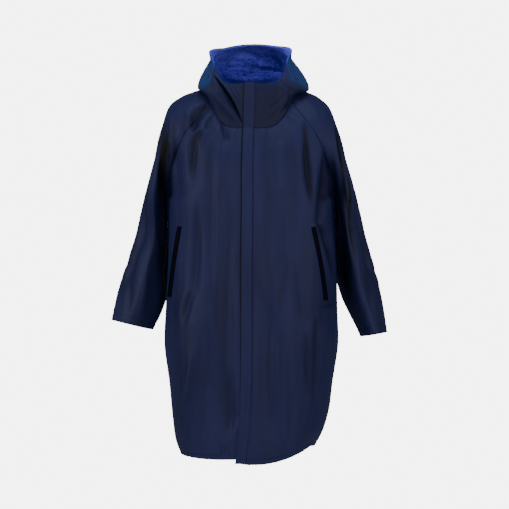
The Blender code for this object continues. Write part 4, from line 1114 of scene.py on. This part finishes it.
def pocket_strip(name, offsets, lift):
    """A strip's grid, lying on a front along a pocket's line, at these offsets across it."""
    net, panel = robe_net(), name.replace("pocket_zip", "front")
    line, square = pocket_line(name)
    columns, outs = [], []
    for offset in offsets:
        places, out = on_panel(net.grids[panel], net.own[panel], (line + square * offset)[:, [0, 2]])
        columns.append(places + out * lift)
        outs.append(out)
    return np.stack(columns, axis=1), unit(np.stack(outs, axis=1))


def line_on_grid(middle, out, thick, edge, distance):
    """The points and normals of a line that runs this far in from one edge of a panel."""
    run = turned(run_from(middle, edge), edge)
    surface, outs = turned(middle + out * thick / 2, edge), turned(out, edge)
    line, up = (
        np.array([at_distance(distance, run[:, c], values[:, c]) for c in range(run.shape[1])])
        for values in (surface, outs)
    )
    return line, unit(up)


def tube_faces(rings, sides, flip=False):
    """The faces of a tube of rings of points, with both ends closed."""
    quads = [
        (k + a, k + (a + 1) % sides, k + sides + (a + 1) % sides, k + sides + a)
        for k in range(0, (rings - 1) * sides, sides) for a in range(sides)
    ]
    ends = [tuple(range(sides))[::-1], tuple(range((rings - 1) * sides, rings * sides))]
    if flip:
        quads, ends = [(q[0], q[3], q[2], q[1]) for q in quads], [end[::-1] for end in ends]
    return quads + ends


def counted_on(faces, first):
    """The same faces, for points that start at a later number."""
    return [tuple(first + i for i in face) for face in faces]


# A thread or coil wire is a row of rings of points: how far along it each stands, and its size.
STITCH_RINGS = ((0.0, 0.15), (0.12, 0.8), (0.5, 1.0), (0.88, 0.8), (1.0, 0.15))
STITCH_SIDES = 5
STITCH_RAISED, STITCH_SUNK = 0.6, 0.35      # its middle lies this far up, in its own size, less this
COIL_RINGS = ((-1.0, 0.25), (-0.8, 0.85), (-0.3, 1.0), (0.3, 1.0), (0.8, 0.85), (1.0, 0.25))
COIL_SIDES = 6
Coil = namedtuple("Coil", "pitch half radius")
FRONT_COIL = Coil(0.0022, 0.0026, 0.0009)
POCKET_COIL = Coil(0.0018, 0.0022, 0.00065)


def stitches(line, out, length, gap, radius):
    """Closed little threads along a line: points and faces of one spindle a stitch, half sunk in it."""
    run = run_along(line)
    shares, sizes = np.transpose(STITCH_RINGS)
    sizes = sizes * radius
    points, faces = [], []
    for start in np.arange(gap, run[-1] - length, length + gap):
        at = start + shares * length
        centre, up = at_distance(at, run, line), unit(at_distance(at, run, out))
        along = unit(centre[-1] - centre[0])
        side = unit(np.cross(up, along))
        centre = centre + up * (sizes[:, None] * STITCH_RAISED - radius * STITCH_SUNK)
        faces += counted_on(tube_faces(len(shares), STITCH_SIDES), len(points))
        for k in range(len(shares)):
            for a in range(STITCH_SIDES):
                turn = 2 * math.pi * a / STITCH_SIDES
                points.append(centre[k] + sizes[k] * (side[k] * math.cos(turn) + up[k] * math.sin(turn)))
    return points, faces


def coil(name, line, out, size, finish):
    """A zip's closed coil: one loop of wire after another across a line, half sunk in the tape."""
    run = run_along(line)
    at = np.arange(size.pitch, run[-1] - size.pitch, size.pitch)
    centre, up = at_distance(at, run, line), unit(at_distance(at, run, out))
    along = unit(np.gradient(centre, axis=0))
    side = unit(np.cross(up, along))
    shares, sizes = np.transpose(COIL_RINGS)
    sizes = sizes * size.radius
    turns = np.linspace(0, 2 * math.pi, COIL_SIDES + 1)[:-1]
    ring = along[:, None] * np.cos(turns)[:, None] + up[:, None] * np.sin(turns)[:, None]
    points = (centre[:, None] + side[:, None] * shares[:, None] * size.half)[:, :, None]
    points = points + sizes[:, None, None] * ring[:, None]
    loop, count = tube_faces(len(shares), COIL_SIDES, flip=True), len(shares) * COIL_SIDES
    faces = [face for first in range(0, len(at) * count, count) for face in counted_on(loop, first)]
    wire = strand_material("zip coil", finish.trim_colour, 0.75)
    return closed_piece(name, points.reshape(-1, 3), faces, wire)


def closed_piece(name, points, faces, material):
    """A small smooth piece made from points and faces, riding on the robe."""
    mesh = bpy.data.meshes.new(name)
    mesh.from_pydata([tuple(p) for p in points], [], faces)
    mesh.polygons.foreach_set("use_smooth", np.ones(len(mesh.polygons), bool))
    mesh.materials.append(material)
    mesh.update()
    piece = linked(name, mesh)
    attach(piece, "root")
    return piece


def join_threads(name, lines, cloth, material):
    """One object that holds all the stitches of the given lines."""
    points, faces = [], []
    sizes = (cloth.stitch_length, cloth.stitch_gap, cloth.thread_radius)
    for line, out in lines:
        new_points, new_faces = stitches(line, out, *sizes)
        faces += counted_on(new_faces, len(points))
        points += new_points
    return closed_piece(name, points, faces, material)


# ---------------------------------------------------------------- finishes


def new_group(name, inputs, outputs):
    """An empty shader node group that gives out plain numbers, its inputs and its closing node."""
    group = bpy.data.node_groups.new(name, "ShaderNodeTree")
    for label, kind, value in inputs:
        socket = group.interface.new_socket(name=label, in_out="INPUT", socket_type=kind)
        if value is not None:
            socket.default_value = value
    for label in outputs:
        group.interface.new_socket(name=label, in_out="OUTPUT", socket_type="NodeSocketFloat")
    return group, group.nodes.new("NodeGroupInput").outputs, group.nodes.new("NodeGroupOutput")


def fill(tree, made, inputs):
    """Set a node's inputs; each is a value or another node's output."""
    for key, value in inputs.items():
        if isinstance(value, bpy.types.NodeSocket):
            tree.links.new(value, made.inputs[key])
        else:
            made.inputs[key].default_value = value
    return made


def node(tree, kind, inputs=None, **settings):
    """A new node with its settings and inputs."""
    made = tree.nodes.new(kind)
    for key, value in settings.items():
        setattr(made, key, value)
    return fill(tree, made, inputs or {})


def math_node(tree, operation, a, b=0.0):
    return node(tree, "ShaderNodeMath", {0: a, 1: b}, operation=operation).outputs[0]


def times(tree, a, b):
    return math_node(tree, "MULTIPLY", a, b)


def stretched(tree, place, by):
    """A place with each of its three axes scaled."""
    return node(tree, "ShaderNodeVectorMath", {0: place, 1: by}, operation="MULTIPLY").outputs[0]


def noise(tree, place, scale, detail=2.0, rough=0.5, distortion=0.0):
    return node(tree, "ShaderNodeTexNoise", {
        "Vector": place, "Scale": scale, "Detail": detail, "Roughness": rough, "Distortion": distortion,
    }).outputs[0]


def remap(tree, value, start, end, to_start=0.0, to_end=1.0):
    return node(tree, "ShaderNodeMapRange", {
        "Value": value, "From Min": start, "From Max": end, "To Min": to_start, "To Max": to_end,
    }).outputs[0]


def blend(tree, first, second, factor):
    """A colour that goes from the first to the second as the factor goes from 0 to 1."""
    inputs = {"A": first, "B": second, "Factor": factor}
    return node(tree, "ShaderNodeMix", inputs, data_type="RGBA").outputs["Result"]


def bumps(tree, height, strength, distance, under=None):
    """A bump's direction, on top of the direction of a broader one."""
    inputs = {"Height": height, "Strength": strength, "Distance": distance}
    if under is not None:
        inputs["Normal"] = under
    return node(tree, "ShaderNodeBump", inputs).outputs[0]


def toned(colour, *factors):
    """The colour times one factor, or times one each for its red, green and blue."""
    factors = factors if len(factors) == 3 else factors * 3
    return (*(min(1.0, c * k) for c, k in zip(colour, factors)), 1.0)


def weave_group():
    """Plain weave of fine yarn: height and a mask that is 1 on the raised yarns."""
    found = bpy.data.node_groups.get("plain weave")
    if found:
        return found
    group, given, end = new_group(
        "plain weave",
        [("Cloth map", "NodeSocketVector", None), ("Yarns per metre", "NodeSocketFloat", 1600.0)],
        ["Height", "Raised"],
    )
    split = node(group, "ShaderNodeSeparateXYZ", {0: given["Cloth map"]})
    yarns = (times(group, split.outputs[axis], given["Yarns per metre"]) for axis in (0, 1))
    u, v = (math_node(group, "SINE", times(group, yarn, math.pi)) for yarn in yarns)
    over = math_node(group, "ADD", times(group, times(group, u, v), 0.5), 0.5)
    warp, weft = (math_node(group, "ABSOLUTE", wave) for wave in (u, v))
    height = node(group, "ShaderNodeMix", {"Factor": over, "A": warp, "B": weft}, data_type="FLOAT")
    fill(group, end, {"Height": height.outputs["Result"], "Raised": over})
    return group


def crinkle_group():
    """Small soft wrinkles of light cloth, and broad unevenness for its colour."""
    found = bpy.data.node_groups.get("crinkle")
    if found:
        return found
    group, given, end = new_group(
        "crinkle",
        [("Place", "NodeSocketVector", None), ("Size", "NodeSocketFloat", 40.0),
         ("Stretch", "NodeSocketFloat", 0.35)],
        ["Height", "Uneven"],
    )
    by = node(group, "ShaderNodeCombineXYZ", {0: 1.0, 1: 1.0, 2: given["Stretch"]}).outputs[0]
    place = stretched(group, given["Place"], by)
    fine = noise(group, place, given["Size"], 3.0, 0.55, 0.6)
    broad = noise(group, place, times(group, given["Size"], 0.22))
    fill(group, end, {"Height": fine, "Uneven": broad})
    return group


def place_group(tree, group, inputs):
    return node(tree, "ShaderNodeGroup", inputs, node_tree=group).outputs


def fresh_material(name):
    """A material, with its tree and shader if it is new and still has to be filled."""
    found = bpy.data.materials.get(name)
    if found:
        return found, None, None
    made = bpy.data.materials.new(name)
    made.use_nodes = True
    return made, made.node_tree, made.node_tree.nodes["Principled BSDF"]


def object_place(tree):
    return node(tree, "ShaderNodeTexCoord").outputs["Object"]


def weave_on(tree, yarns):
    """The weave's height and mask, laid along the cloth's own map."""
    cloth = node(tree, "ShaderNodeUVMap", uv_map="cloth").outputs[0]
    return place_group(tree, weave_group(), {"Cloth map": cloth, "Yarns per metre": yarns})


def painted_shading_value(tree):
    """The painted shade on the cloth, deepest in creases, from 0 to 1; below 0 a painted highlight."""
    return node(tree, "ShaderNodeAttribute", attribute_name="hollow").outputs["Fac"]


def shell_material(finish):
    """Navy coated cloth: fine weave, soft sheen, slightly uneven colour and gloss, painted shade in creases
    and a painted highlight on the hood's sides.
    """
    made, tree, shader = fresh_material("navy coated weave")
    if tree is None:
        return made
    navy = finish.shell_colour
    weave = weave_on(tree, finish.yarns)
    crinkle = place_group(tree, crinkle_group(), {"Place": object_place(tree), "Size": 55.0})
    tone = blend(tree, toned(navy, 0.80), toned(navy, 1.22), remap(tree, crinkle["Uneven"], 0.3, 0.7))
    tone = blend(tree, tone, toned(navy, 1.8), times(tree, weave["Raised"], 0.16))
    hollow = painted_shading_value(tree)
    # Painted shade where the attribute is above 0; below 0 a paler, bluer painted highlight.
    tone = blend(tree, tone, toned(navy, 0.03), hollow)
    tone = blend(tree, tone, toned(navy, 1.2, 3.1, 2.9), times(tree, hollow, -1.0))
    rough = remap(tree, crinkle["Uneven"], 0.3, 0.7, finish.shell_rough - 0.04, finish.shell_rough + 0.05)
    wrinkled = bumps(tree, crinkle["Height"], 0.42, 0.0022)
    fill(tree, shader, {
        "Base Color": tone, "Roughness": rough, "Specular IOR Level": 0.13,
        "Normal": bumps(tree, weave["Height"], 0.25, 0.00012, wrinkled),
        "Sheen Weight": 0.07, "Sheen Roughness": 0.35, "Sheen Tint": (0.08, 0.28, 0.80, 1.0),
    })
    return made


def fleece_material(finish):
    """Royal-blue pile: mottled clumps, dark between them, with a soft bright sheen, painted shade in its
    creases and painted highlights along some.
    """
    made, tree, shader = fresh_material("royal blue fleece")
    if tree is None:
        return made
    blue, place = finish.fleece_colour, object_place(tree)
    clump = noise(tree, place, 75.0, 4.0, 0.6, 1.2)
    fibre = noise(tree, place, 650.0, 2.0, 0.7)
    streak = noise(tree, stretched(tree, place, (0.45, 1.0, 1.5)), 46.0, 3.0, 0.55, 1.6)
    mottled = math_node(tree, "ADD", times(tree, clump, 0.55), times(tree, streak, 0.45))
    light = toned(blue, 2.6, 2.2, 1.25)
    tone = blend(tree, toned(blue, 0.42, 0.36, 0.52), light, remap(tree, mottled, 0.38, 0.62))
    # Painted shade in the lining's creases, broken up by the mottle; below 0 a painted highlight.
    mottled_painted_shading = times(tree, painted_shading_value(tree), times(tree, mottled, 1.9))
    tone = blend(tree, tone, toned(blue, 0.12, 0.08, 0.30), mottled_painted_shading)
    tone = blend(tree, tone, toned(light, 1.3), times(tree, mottled_painted_shading, -1.0))
    pile = math_node(tree, "ADD", clump, times(tree, fibre, 0.35))
    fill(tree, shader, {
        "Base Color": tone, "Roughness": 0.95, "Specular IOR Level": 0.05,
        "Normal": bumps(tree, pile, 0.8, 0.002),
        "Sheen Weight": 0.26, "Sheen Roughness": 0.6, "Sheen Tint": (0.30, 0.36, 1.0, 1.0),
    })
    return made


def trim_material(finish):
    """Near-black zip tape, a coarser plain weave."""
    made, tree, shader = fresh_material("black zip")
    if tree is None:
        return made
    black = finish.trim_colour
    weave = weave_on(tree, 1300.0)
    light = toned([c * 2.2 + 0.0006 for c in black], 1.0)
    fill(tree, shader, {
        "Base Color": blend(tree, toned(black, 1.0), light, weave["Raised"]),
        "Roughness": remap(tree, weave["Raised"], 0.0, 1.0, 0.68, 0.82),
        "Normal": bumps(tree, weave["Height"], 0.5, 0.0002), "Specular IOR Level": 0.04,
    })
    return made


def strand_material(name, colour, rough):
    """Thread or coil wire, a little lighter and darker here and there."""
    made, tree, shader = fresh_material(name)
    if tree is None:
        return made
    tone = blend(tree, toned(colour, 0.8), toned(colour, 1.3), noise(tree, object_place(tree), 900.0))
    fill(tree, shader, {"Base Color": tone, "Roughness": rough, "Specular IOR Level": 0.15})
    return made


# ---------------------------------------------------------------- what a user can change


class RobeClothSettings(bpy.types.PropertyGroup):
    """Sizes of the sewing and the pile."""

    stitch_length: FloatProperty(
        name="Stitch length", description="Length of one visible stitch",
        default=0.0032, min=0.001, unit="LENGTH",
    )
    stitch_gap: FloatProperty(
        name="Stitch gap", description="Space between two stitches",
        default=0.0010, min=0.0002, unit="LENGTH",
    )
    thread_radius: FloatProperty(
        name="Thread radius", description="Half the thickness of the sewing thread",
        default=0.00038, min=0.0001, unit="LENGTH",
    )
    clump_height: FloatProperty(
        name="Clump height", description="How far tufts of the fleece stand up",
        default=0.0018, min=0.0, unit="LENGTH",
    )


class RobeFinishSettings(bpy.types.PropertyGroup):
    """Colours and gloss of the cloth."""

    shell_colour: FloatVectorProperty(
        name="Shell", description="Colour of the outer cloth", subtype="COLOR",
        default=(0.0118, 0.0135, 0.0500), min=0, max=1,
    )
    fleece_colour: FloatVectorProperty(
        name="Fleece", description="Colour of the hood's lining", subtype="COLOR",
        default=(0.062, 0.070, 0.680), min=0, max=1,
    )
    trim_colour: FloatVectorProperty(
        name="Zips", description="Colour of the zips", subtype="COLOR",
        default=(0.0008, 0.0008, 0.0035), min=0, max=1,
    )
    thread_colour: FloatVectorProperty(
        name="Thread", description="Colour of the sewing thread", subtype="COLOR",
        default=(0.016, 0.030, 0.095), min=0, max=1,
    )
    shell_rough: FloatProperty(
        name="Shell roughness", description="Roughness of the outer cloth",
        default=0.54, min=0, max=1, subtype="FACTOR",
    )
    yarns: FloatProperty(
        name="Yarns per metre", description="Fineness of the outer cloth's weave",
        default=1500.0, min=100,
    )


class RobeStageSettings(bpy.types.PropertyGroup):
    """Camera distance, floor and light."""

    camera_away: FloatProperty(
        name="Camera distance", description="From the robe's middle to the camera",
        default=10.0, min=1, unit="LENGTH",
    )
    frame_width: FloatProperty(
        name="Frame width", description="Width that the camera sees at the robe's middle",
        default=1.552, min=0.5, unit="LENGTH",
    )
    floor_drop: FloatProperty(
        name="Floor", description="How far the floor lies below the hem",
        default=0.34, min=0, unit="LENGTH",
    )
    lamp_power: FloatProperty(
        name="Lamp power", description="Power that each lamp takes its share of",
        default=66.0, min=0, unit="POWER",
    )


# ---------------------------------------------------------------- operators


def dressed(name, node_name, middle, out, thick, material, tube=None, hollow=None):
    """A shell of cloth that stands for one CAD node."""
    piece = shell_mesh(name, middle, out, thick, tube, hollow)
    piece.data.materials.append(material)
    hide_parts(node_name)
    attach(piece, "root")
    return piece


def shell_piece(context, name):
    """A panel of the shell, in place of its CAD node."""
    middle, out, thick, tube = panel_shape(name)
    navy, hollow = shell_material(context.scene.robe_finish), robe_net().hollows[name]
    piece = dressed("cloth_" + name, name, middle, out, thick, navy, tube, hollow)
    return piece


class ROBE_OT_body(bpy.types.Operator):
    """Make the two fronts and the back"""

    bl_idname = "robe.body"
    bl_label = "Fronts and back"

    def execute(self, context):
        for name in ("front_right", "front_left", "back"):
            shell_piece(context, name)
        return {"FINISHED"}


class ROBE_OT_sleeves(bpy.types.Operator):
    """Make the two raglan sleeves"""

    bl_idname = "robe.sleeves"
    bl_label = "Sleeves"

    def execute(self, context):
        for name in ("sleeve_right", "sleeve_left"):
            shell_piece(context, name)
        return {"FINISHED"}


class ROBE_OT_hood(bpy.types.Operator):
    """Make the hood's two sides and its centre panel, with the stand collar"""

    bl_idname = "robe.hood"
    bl_label = "Hood"

    def execute(self, context):
        for name in ("hood_side_right", "hood_side_left", "hood_centre"):
            shell_piece(context, name)
        return {"FINISHED"}


# Tufts of the fleece, coarse and fine: how wide and tall, how high beside the others, and a seed.
Tuft = namedtuple("Tuft", "wide tall share seed")
TUFTS = (Tuft(0.0075, 0.0075, 1.0, 9.0), Tuft(0.0038, 0.0042, 0.6, 12.0))
RIM_SHADE, RIM_SHADE_ENDS = 0.75, (0.034, 0.006)    # how dark, and how far in from the hood's edges


class ROBE_OT_lining(bpy.types.Operator):
    """Make the fleece inside the hood"""

    bl_idname = "robe.lining"
    bl_label = "Fleece lining"

    def execute(self, context):
        net = robe_net()
        inside = HOOD_SHELL / 2 + HOOD_PILE / 2 + 2 * SEAM_GAP
        out = net.own["hood"][:-LINING_STOP]
        lining = net.grids["hood"][:-LINING_STOP] - out * inside
        for edge in ("first", "last"):
            lining = cut_back(lining, edge, LINING_BACK)
        # Creases of the fleece alone with their painted shade and highlights, then its tufts, all standing
        # into the hood.
        depth, shade = crease_depth(LINING_CREASES, "hood", lining, out)
        depth = np.minimum(depth, LINING_PROUD)
        u, v = run_from(lining, "first"), run_from(lining, "top")
        tufts = sum(t.share * uneven(u / t.wide, v / t.tall, t.seed) for t in TUFTS)
        tall = context.scene.robe_cloth.clump_height * (0.5 + 0.5 * tufts) * smooth_step(0.0, 0.008, v)
        # Pile that lies in the shade of the rim, at both sides of the face.
        beside = RIM_SHADE * smooth_step(*RIM_SHADE_ENDS, np.minimum(u, run_from(lining, "last")))
        shade = np.where(shade > -0.2, np.maximum(shade, beside), shade)
        lining = lining + out * (depth - tall)[..., None]
        pile = fleece_material(context.scene.robe_finish)
        piece = dressed("fleece_hood", "hood_lining", lining, out, HOOD_PILE, pile, hollow=shade)
        return {"FINISHED"}


def front_rows():
    """Rows of both fronts from the hood's rim to the hem, and the direction out of the zip's line."""
    net = robe_net()
    left = list(net.grids["hood"]) + list(net.grids["front_left"][1:])
    right = list(net.grids["hood"][:, ::-1]) + list(net.grids["front_right"][1:, ::-1])
    tables = (net.own, net.at_neck)
    own, shared = (np.concatenate([t["hood"][:, :1], t["front_left"][1:, :1]]) for t in tables)
    return left, right, shared / np.sum(shared * own, axis=-1, keepdims=True)


def flap_strip():
    """The storm flap's middle surface, pressed onto the collar and the fronts, and its directions out."""
    left, right, outward = front_rows()
    under = np.where(np.arange(len(left)) < len(robe_net().grids["hood"]), HOOD_SHELL, SHELL)
    lift = (under + FLAP_THICK) / 2 - FLAP_PRESSED
    return centre_strip(left, right, outward, FLAP_WIDTH, lift, FLAP_STEPS)


class ROBE_OT_placket(bpy.types.Operator):
    """Make the front zip and the storm flap over it"""

    bl_idname = "robe.placket"
    bl_label = "Zip and storm flap"

    def execute(self, context):
        finish = context.scene.robe_finish
        rows = (part[:-ZIP_ENDS] for part in front_rows())
        closed, out = centre_strip(*rows, ZIP_SLOT - 2 * SEAM_GAP, 0.0, ZIP_STEPS)
        dressed("tape_front_zip", "front_zip", closed, out, ZIP_THICK, trim_material(finish))
        mid, up = closed[:, ZIP_STEPS // 2], out[:, ZIP_STEPS // 2]
        coil("coil_front_zip", mid - up * ZIP_THICK / 2, up, FRONT_COIL, finish)
        flap, out = flap_strip()
        navy = shell_material(finish)
        piece = dressed("cloth_storm_flap", "storm_flap", flap, out, FLAP_THICK, navy)
        return {"FINISHED"}


class ROBE_OT_pockets(bpy.types.Operator):
    """Make the two slanted pocket zips"""

    bl_idname = "robe.pockets"
    bl_label = "Pocket zips"

    def execute(self, context):
        finish = context.scene.robe_finish
        offsets = np.linspace(-0.5, 0.5, POCKET_COLUMNS) * POCKET_WIDTH
        above = SHELL / 2 + POCKET_THICK / 2 + POCKET_GAP
        for name in POCKETS:
            strip, out = pocket_strip(name, offsets, above)
            dressed("tape_" + name, name, strip, out, POCKET_THICK, trim_material(finish))
            mid, up = strip[:, POCKET_COLUMNS // 2], out[:, POCKET_COLUMNS // 2]
            coil("coil_" + name, mid + up * POCKET_THICK / 2, up, POCKET_COIL, finish)
        return {"FINISHED"}


class ROBE_OT_sewing(bpy.types.Operator):
    """Lay the visible lines of stitches"""

    bl_idname = "robe.sewing"
    bl_label = "Stitches"

    def execute(self, context):
        hood = ("hood_side_left", "hood_centre", "hood_side_right")
        body = ("front_right", "front_left", "back")
        lines = {
            "stitches_hem": [(name, "bottom", HEM_DEPTH) for name in body],
            "stitches_cuffs": [(name, "bottom", CUFF_DEPTH) for name in ("sleeve_left", "sleeve_right")],
            "stitches_hood": [(name, "top", RIM_DEPTH) for name in hood],
            "stitches_storm_flap": [("storm_flap", *line) for line in FLAP_SEWN],
            "stitches_raglan": [(name, edge, SEAM_SEWN) for name in body for edge in SEAMS[name]],
            "stitches_hood_seams": [("hood_centre", edge, SEAM_SEWN) for edge in ("first", "last")],
        }
        shapes = {name: panel_shape(name)[:3] for name in SEAMS}
        shapes["storm_flap"] = (*flap_strip(), FLAP_THICK)
        threads = {}
        for group, places in lines.items():
            threads[group] = []
            for name, edge, far in places:
                middle, out, thick = shapes[name]
                # Raglan seams are sewn down to just above the underarm.
                down_to = RAGLAN_END if group == "stitches_raglan" and edge != "top" else None
                threads[group].append(line_on_grid(middle[:down_to], out[:down_to], thick, edge, far))
        threads["stitches_pockets"] = []
        for name in POCKETS:
            strip, out = pocket_strip(name, (-POCKET_SEWN, POCKET_SEWN), SHELL / 2)
            for line in (np.s_[:, 0], np.s_[:, 1], np.s_[0], np.s_[-1]):
                threads["stitches_pockets"].append((strip[line], out[line]))
        navy = strand_material("navy thread", context.scene.robe_finish.thread_colour, 0.6)
        for group, sewn_lines in threads.items():
            join_threads(group, sewn_lines, context.scene.robe_cloth, navy)
        return {"FINISHED"}


# ---------------------------------------------------------------- stage and panel

# "share" is each lamp's part of the stage's lamp power. The camera looks level at the robe's middle.
Lamp = namedtuple("Lamp", "name place aim size share colour")
NEUTRAL, COOL, SKY = (1, 1, 1), (0.95, 0.97, 1.0), (0.66, 0.80, 1.0)
LAMPS = (
    Lamp("key", (-1.5, -3.3, 0.7), (0, 0, -0.4), (1.3, 1.3), 0.46, NEUTRAL),
    Lamp("fill", (1.4, -3.3, -0.4), (0, 0, -0.7), (1.3, 1.8), 0.56, NEUTRAL),
    Lamp("top", (0, -0.7, 1.9), (0, 0, -0.1), (1.6, 0.8), 0.44, SKY),
    Lamp("edge_right", (-2.5, -1.4, 0.1), (0, 0, -0.4), (0.8, 2.0), 0.62, COOL),
    Lamp("edge_left", (2.5, -1.4, 0.1), (0, 0, -0.4), (0.8, 2.0), 0.40, COOL),
    Lamp("back", (0, 3.8, 0.1), (0, 0, -0.5), (1.0, 1.0), 0.45, NEUTRAL),
)
CAMERA_X, CAMERA_Z = 0.0122, -0.514
SENSOR = 36.0           # width of the camera's sensor, in millimetres
FLOOR_RADII = (0.4, 0.95)
FLOOR_SIDES = 96


def add_lamp(lamp, power):
    light = bpy.data.lights.new(lamp.name, "AREA")
    light.shape, light.size, light.size_y = "RECTANGLE", *lamp.size
    light.energy, light.color = power * lamp.share, lamp.colour
    made = linked(lamp.name, light)
    made.visible_camera = False
    made.location = lamp.place
    made.rotation_euler = (Vector(lamp.aim) - Vector(lamp.place)).to_track_quat("-Z", "Y").to_euler()


def add_camera(stage):
    """A level camera in front of the robe, as far away as the photograph's lines ask."""
    camera = bpy.data.cameras.new("camera")
    camera.sensor_width = SENSOR
    camera.lens = SENSOR * stage.camera_away / stage.frame_width
    eye = linked("camera", camera)
    eye.location = (CAMERA_X, -stage.camera_away, CAMERA_Z)
    eye.rotation_euler = (math.pi / 2, 0, 0)
    bpy.context.scene.camera = eye


def add_floor(height):
    """A small round floor that stays below the camera's view."""
    turn = np.linspace(0, 2 * math.pi, FLOOR_SIDES + 1)[:-1]
    rings = [(radius * math.cos(a), radius * math.sin(a), height) for radius in FLOOR_RADII for a in turn]
    after = [(k + 1) % FLOOR_SIDES for k in range(FLOOR_SIDES)]
    faces = [(k, FLOOR_SIDES + k, FLOOR_SIDES + b, b) for k, b in enumerate(after)]
    mesh = bpy.data.meshes.new("floor")
    mesh.from_pydata(rings, [], [tuple(range(FLOOR_SIDES))] + faces)
    made, tree, shader = fresh_material("pale floor")
    if tree is not None:
        fill(tree, shader, {"Base Color": (0.86, 0.86, 0.87, 1), "Roughness": 0.7})
    mesh.materials.append(made)
    return linked("floor", mesh)


def add_world():
    """Soft light from all round; the camera itself sees a bright backdrop."""
    world = bpy.data.worlds.new("studio")
    bpy.context.scene.world = world
    world.use_nodes = True
    tree = world.node_tree
    soft = fill(tree, tree.nodes["Background"], {0: (0.95, 0.97, 1.0, 1), 1: 0.14})
    seen = node(tree, "ShaderNodeBackground", {0: (1, 1, 1, 1), 1: 6.0})
    path = node(tree, "ShaderNodeLightPath")
    mix = node(tree, "ShaderNodeMixShader", {
        0: path.outputs["Is Camera Ray"], 1: soft.outputs[0], 2: seen.outputs[0],
    })
    fill(tree, tree.nodes["World Output"], {0: mix.outputs[0]})


class ROBE_OT_stage(bpy.types.Operator):
    """Set the camera, the floor and soft studio light"""

    bl_idname = "robe.stage"
    bl_label = "Stage"

    def execute(self, context):
        stage = context.scene.robe_stage
        add_camera(stage)
        floor = add_floor(CAD_BOX[0][2] - stage.floor_drop)
        for lamp in LAMPS:
            add_lamp(lamp, stage.lamp_power)
        add_world()
        return {"FINISHED"}


class ROBE_PT_panel(bpy.types.Panel):
    """The robe's settings and the steps that build it"""

    bl_idname = "ROBE_PT_panel"
    bl_label = "Changing robe"
    bl_space_type = "VIEW_3D"
    bl_region_type = "UI"
    bl_category = "Robe"

    def draw(self, context):
        for group in ("robe_cloth", "robe_finish", "robe_stage"):
            settings = getattr(context.scene, group)
            box = self.layout.box()
            for key in settings.__annotations__:
                box.prop(settings, key)
        for step in STEPS:
            self.layout.operator(step.bl_idname)


STEPS = (
    ROBE_OT_body, ROBE_OT_sleeves, ROBE_OT_hood, ROBE_OT_lining, ROBE_OT_placket, ROBE_OT_pockets,
    ROBE_OT_sewing, ROBE_OT_stage,
)
CLASSES = (RobeClothSettings, RobeFinishSettings, RobeStageSettings, *STEPS, ROBE_PT_panel)


def register():
    for cls in CLASSES:
        bpy.utils.register_class(cls)
    bpy.types.Scene.robe_cloth = PointerProperty(type=RobeClothSettings)
    bpy.types.Scene.robe_finish = PointerProperty(type=RobeFinishSettings)
    bpy.types.Scene.robe_stage = PointerProperty(type=RobeStageSettings)


def unregister():
    for group in ("robe_cloth", "robe_finish", "robe_stage"):
        delattr(bpy.types.Scene, group)
    for cls in reversed(CLASSES):
        bpy.utils.unregister_class(cls)


def main():
    register()
    for step in STEPS:
        group, action = step.bl_idname.split(".")
        getattr(getattr(bpy.ops, group), action)()


if __name__ == "__main__":
    main()
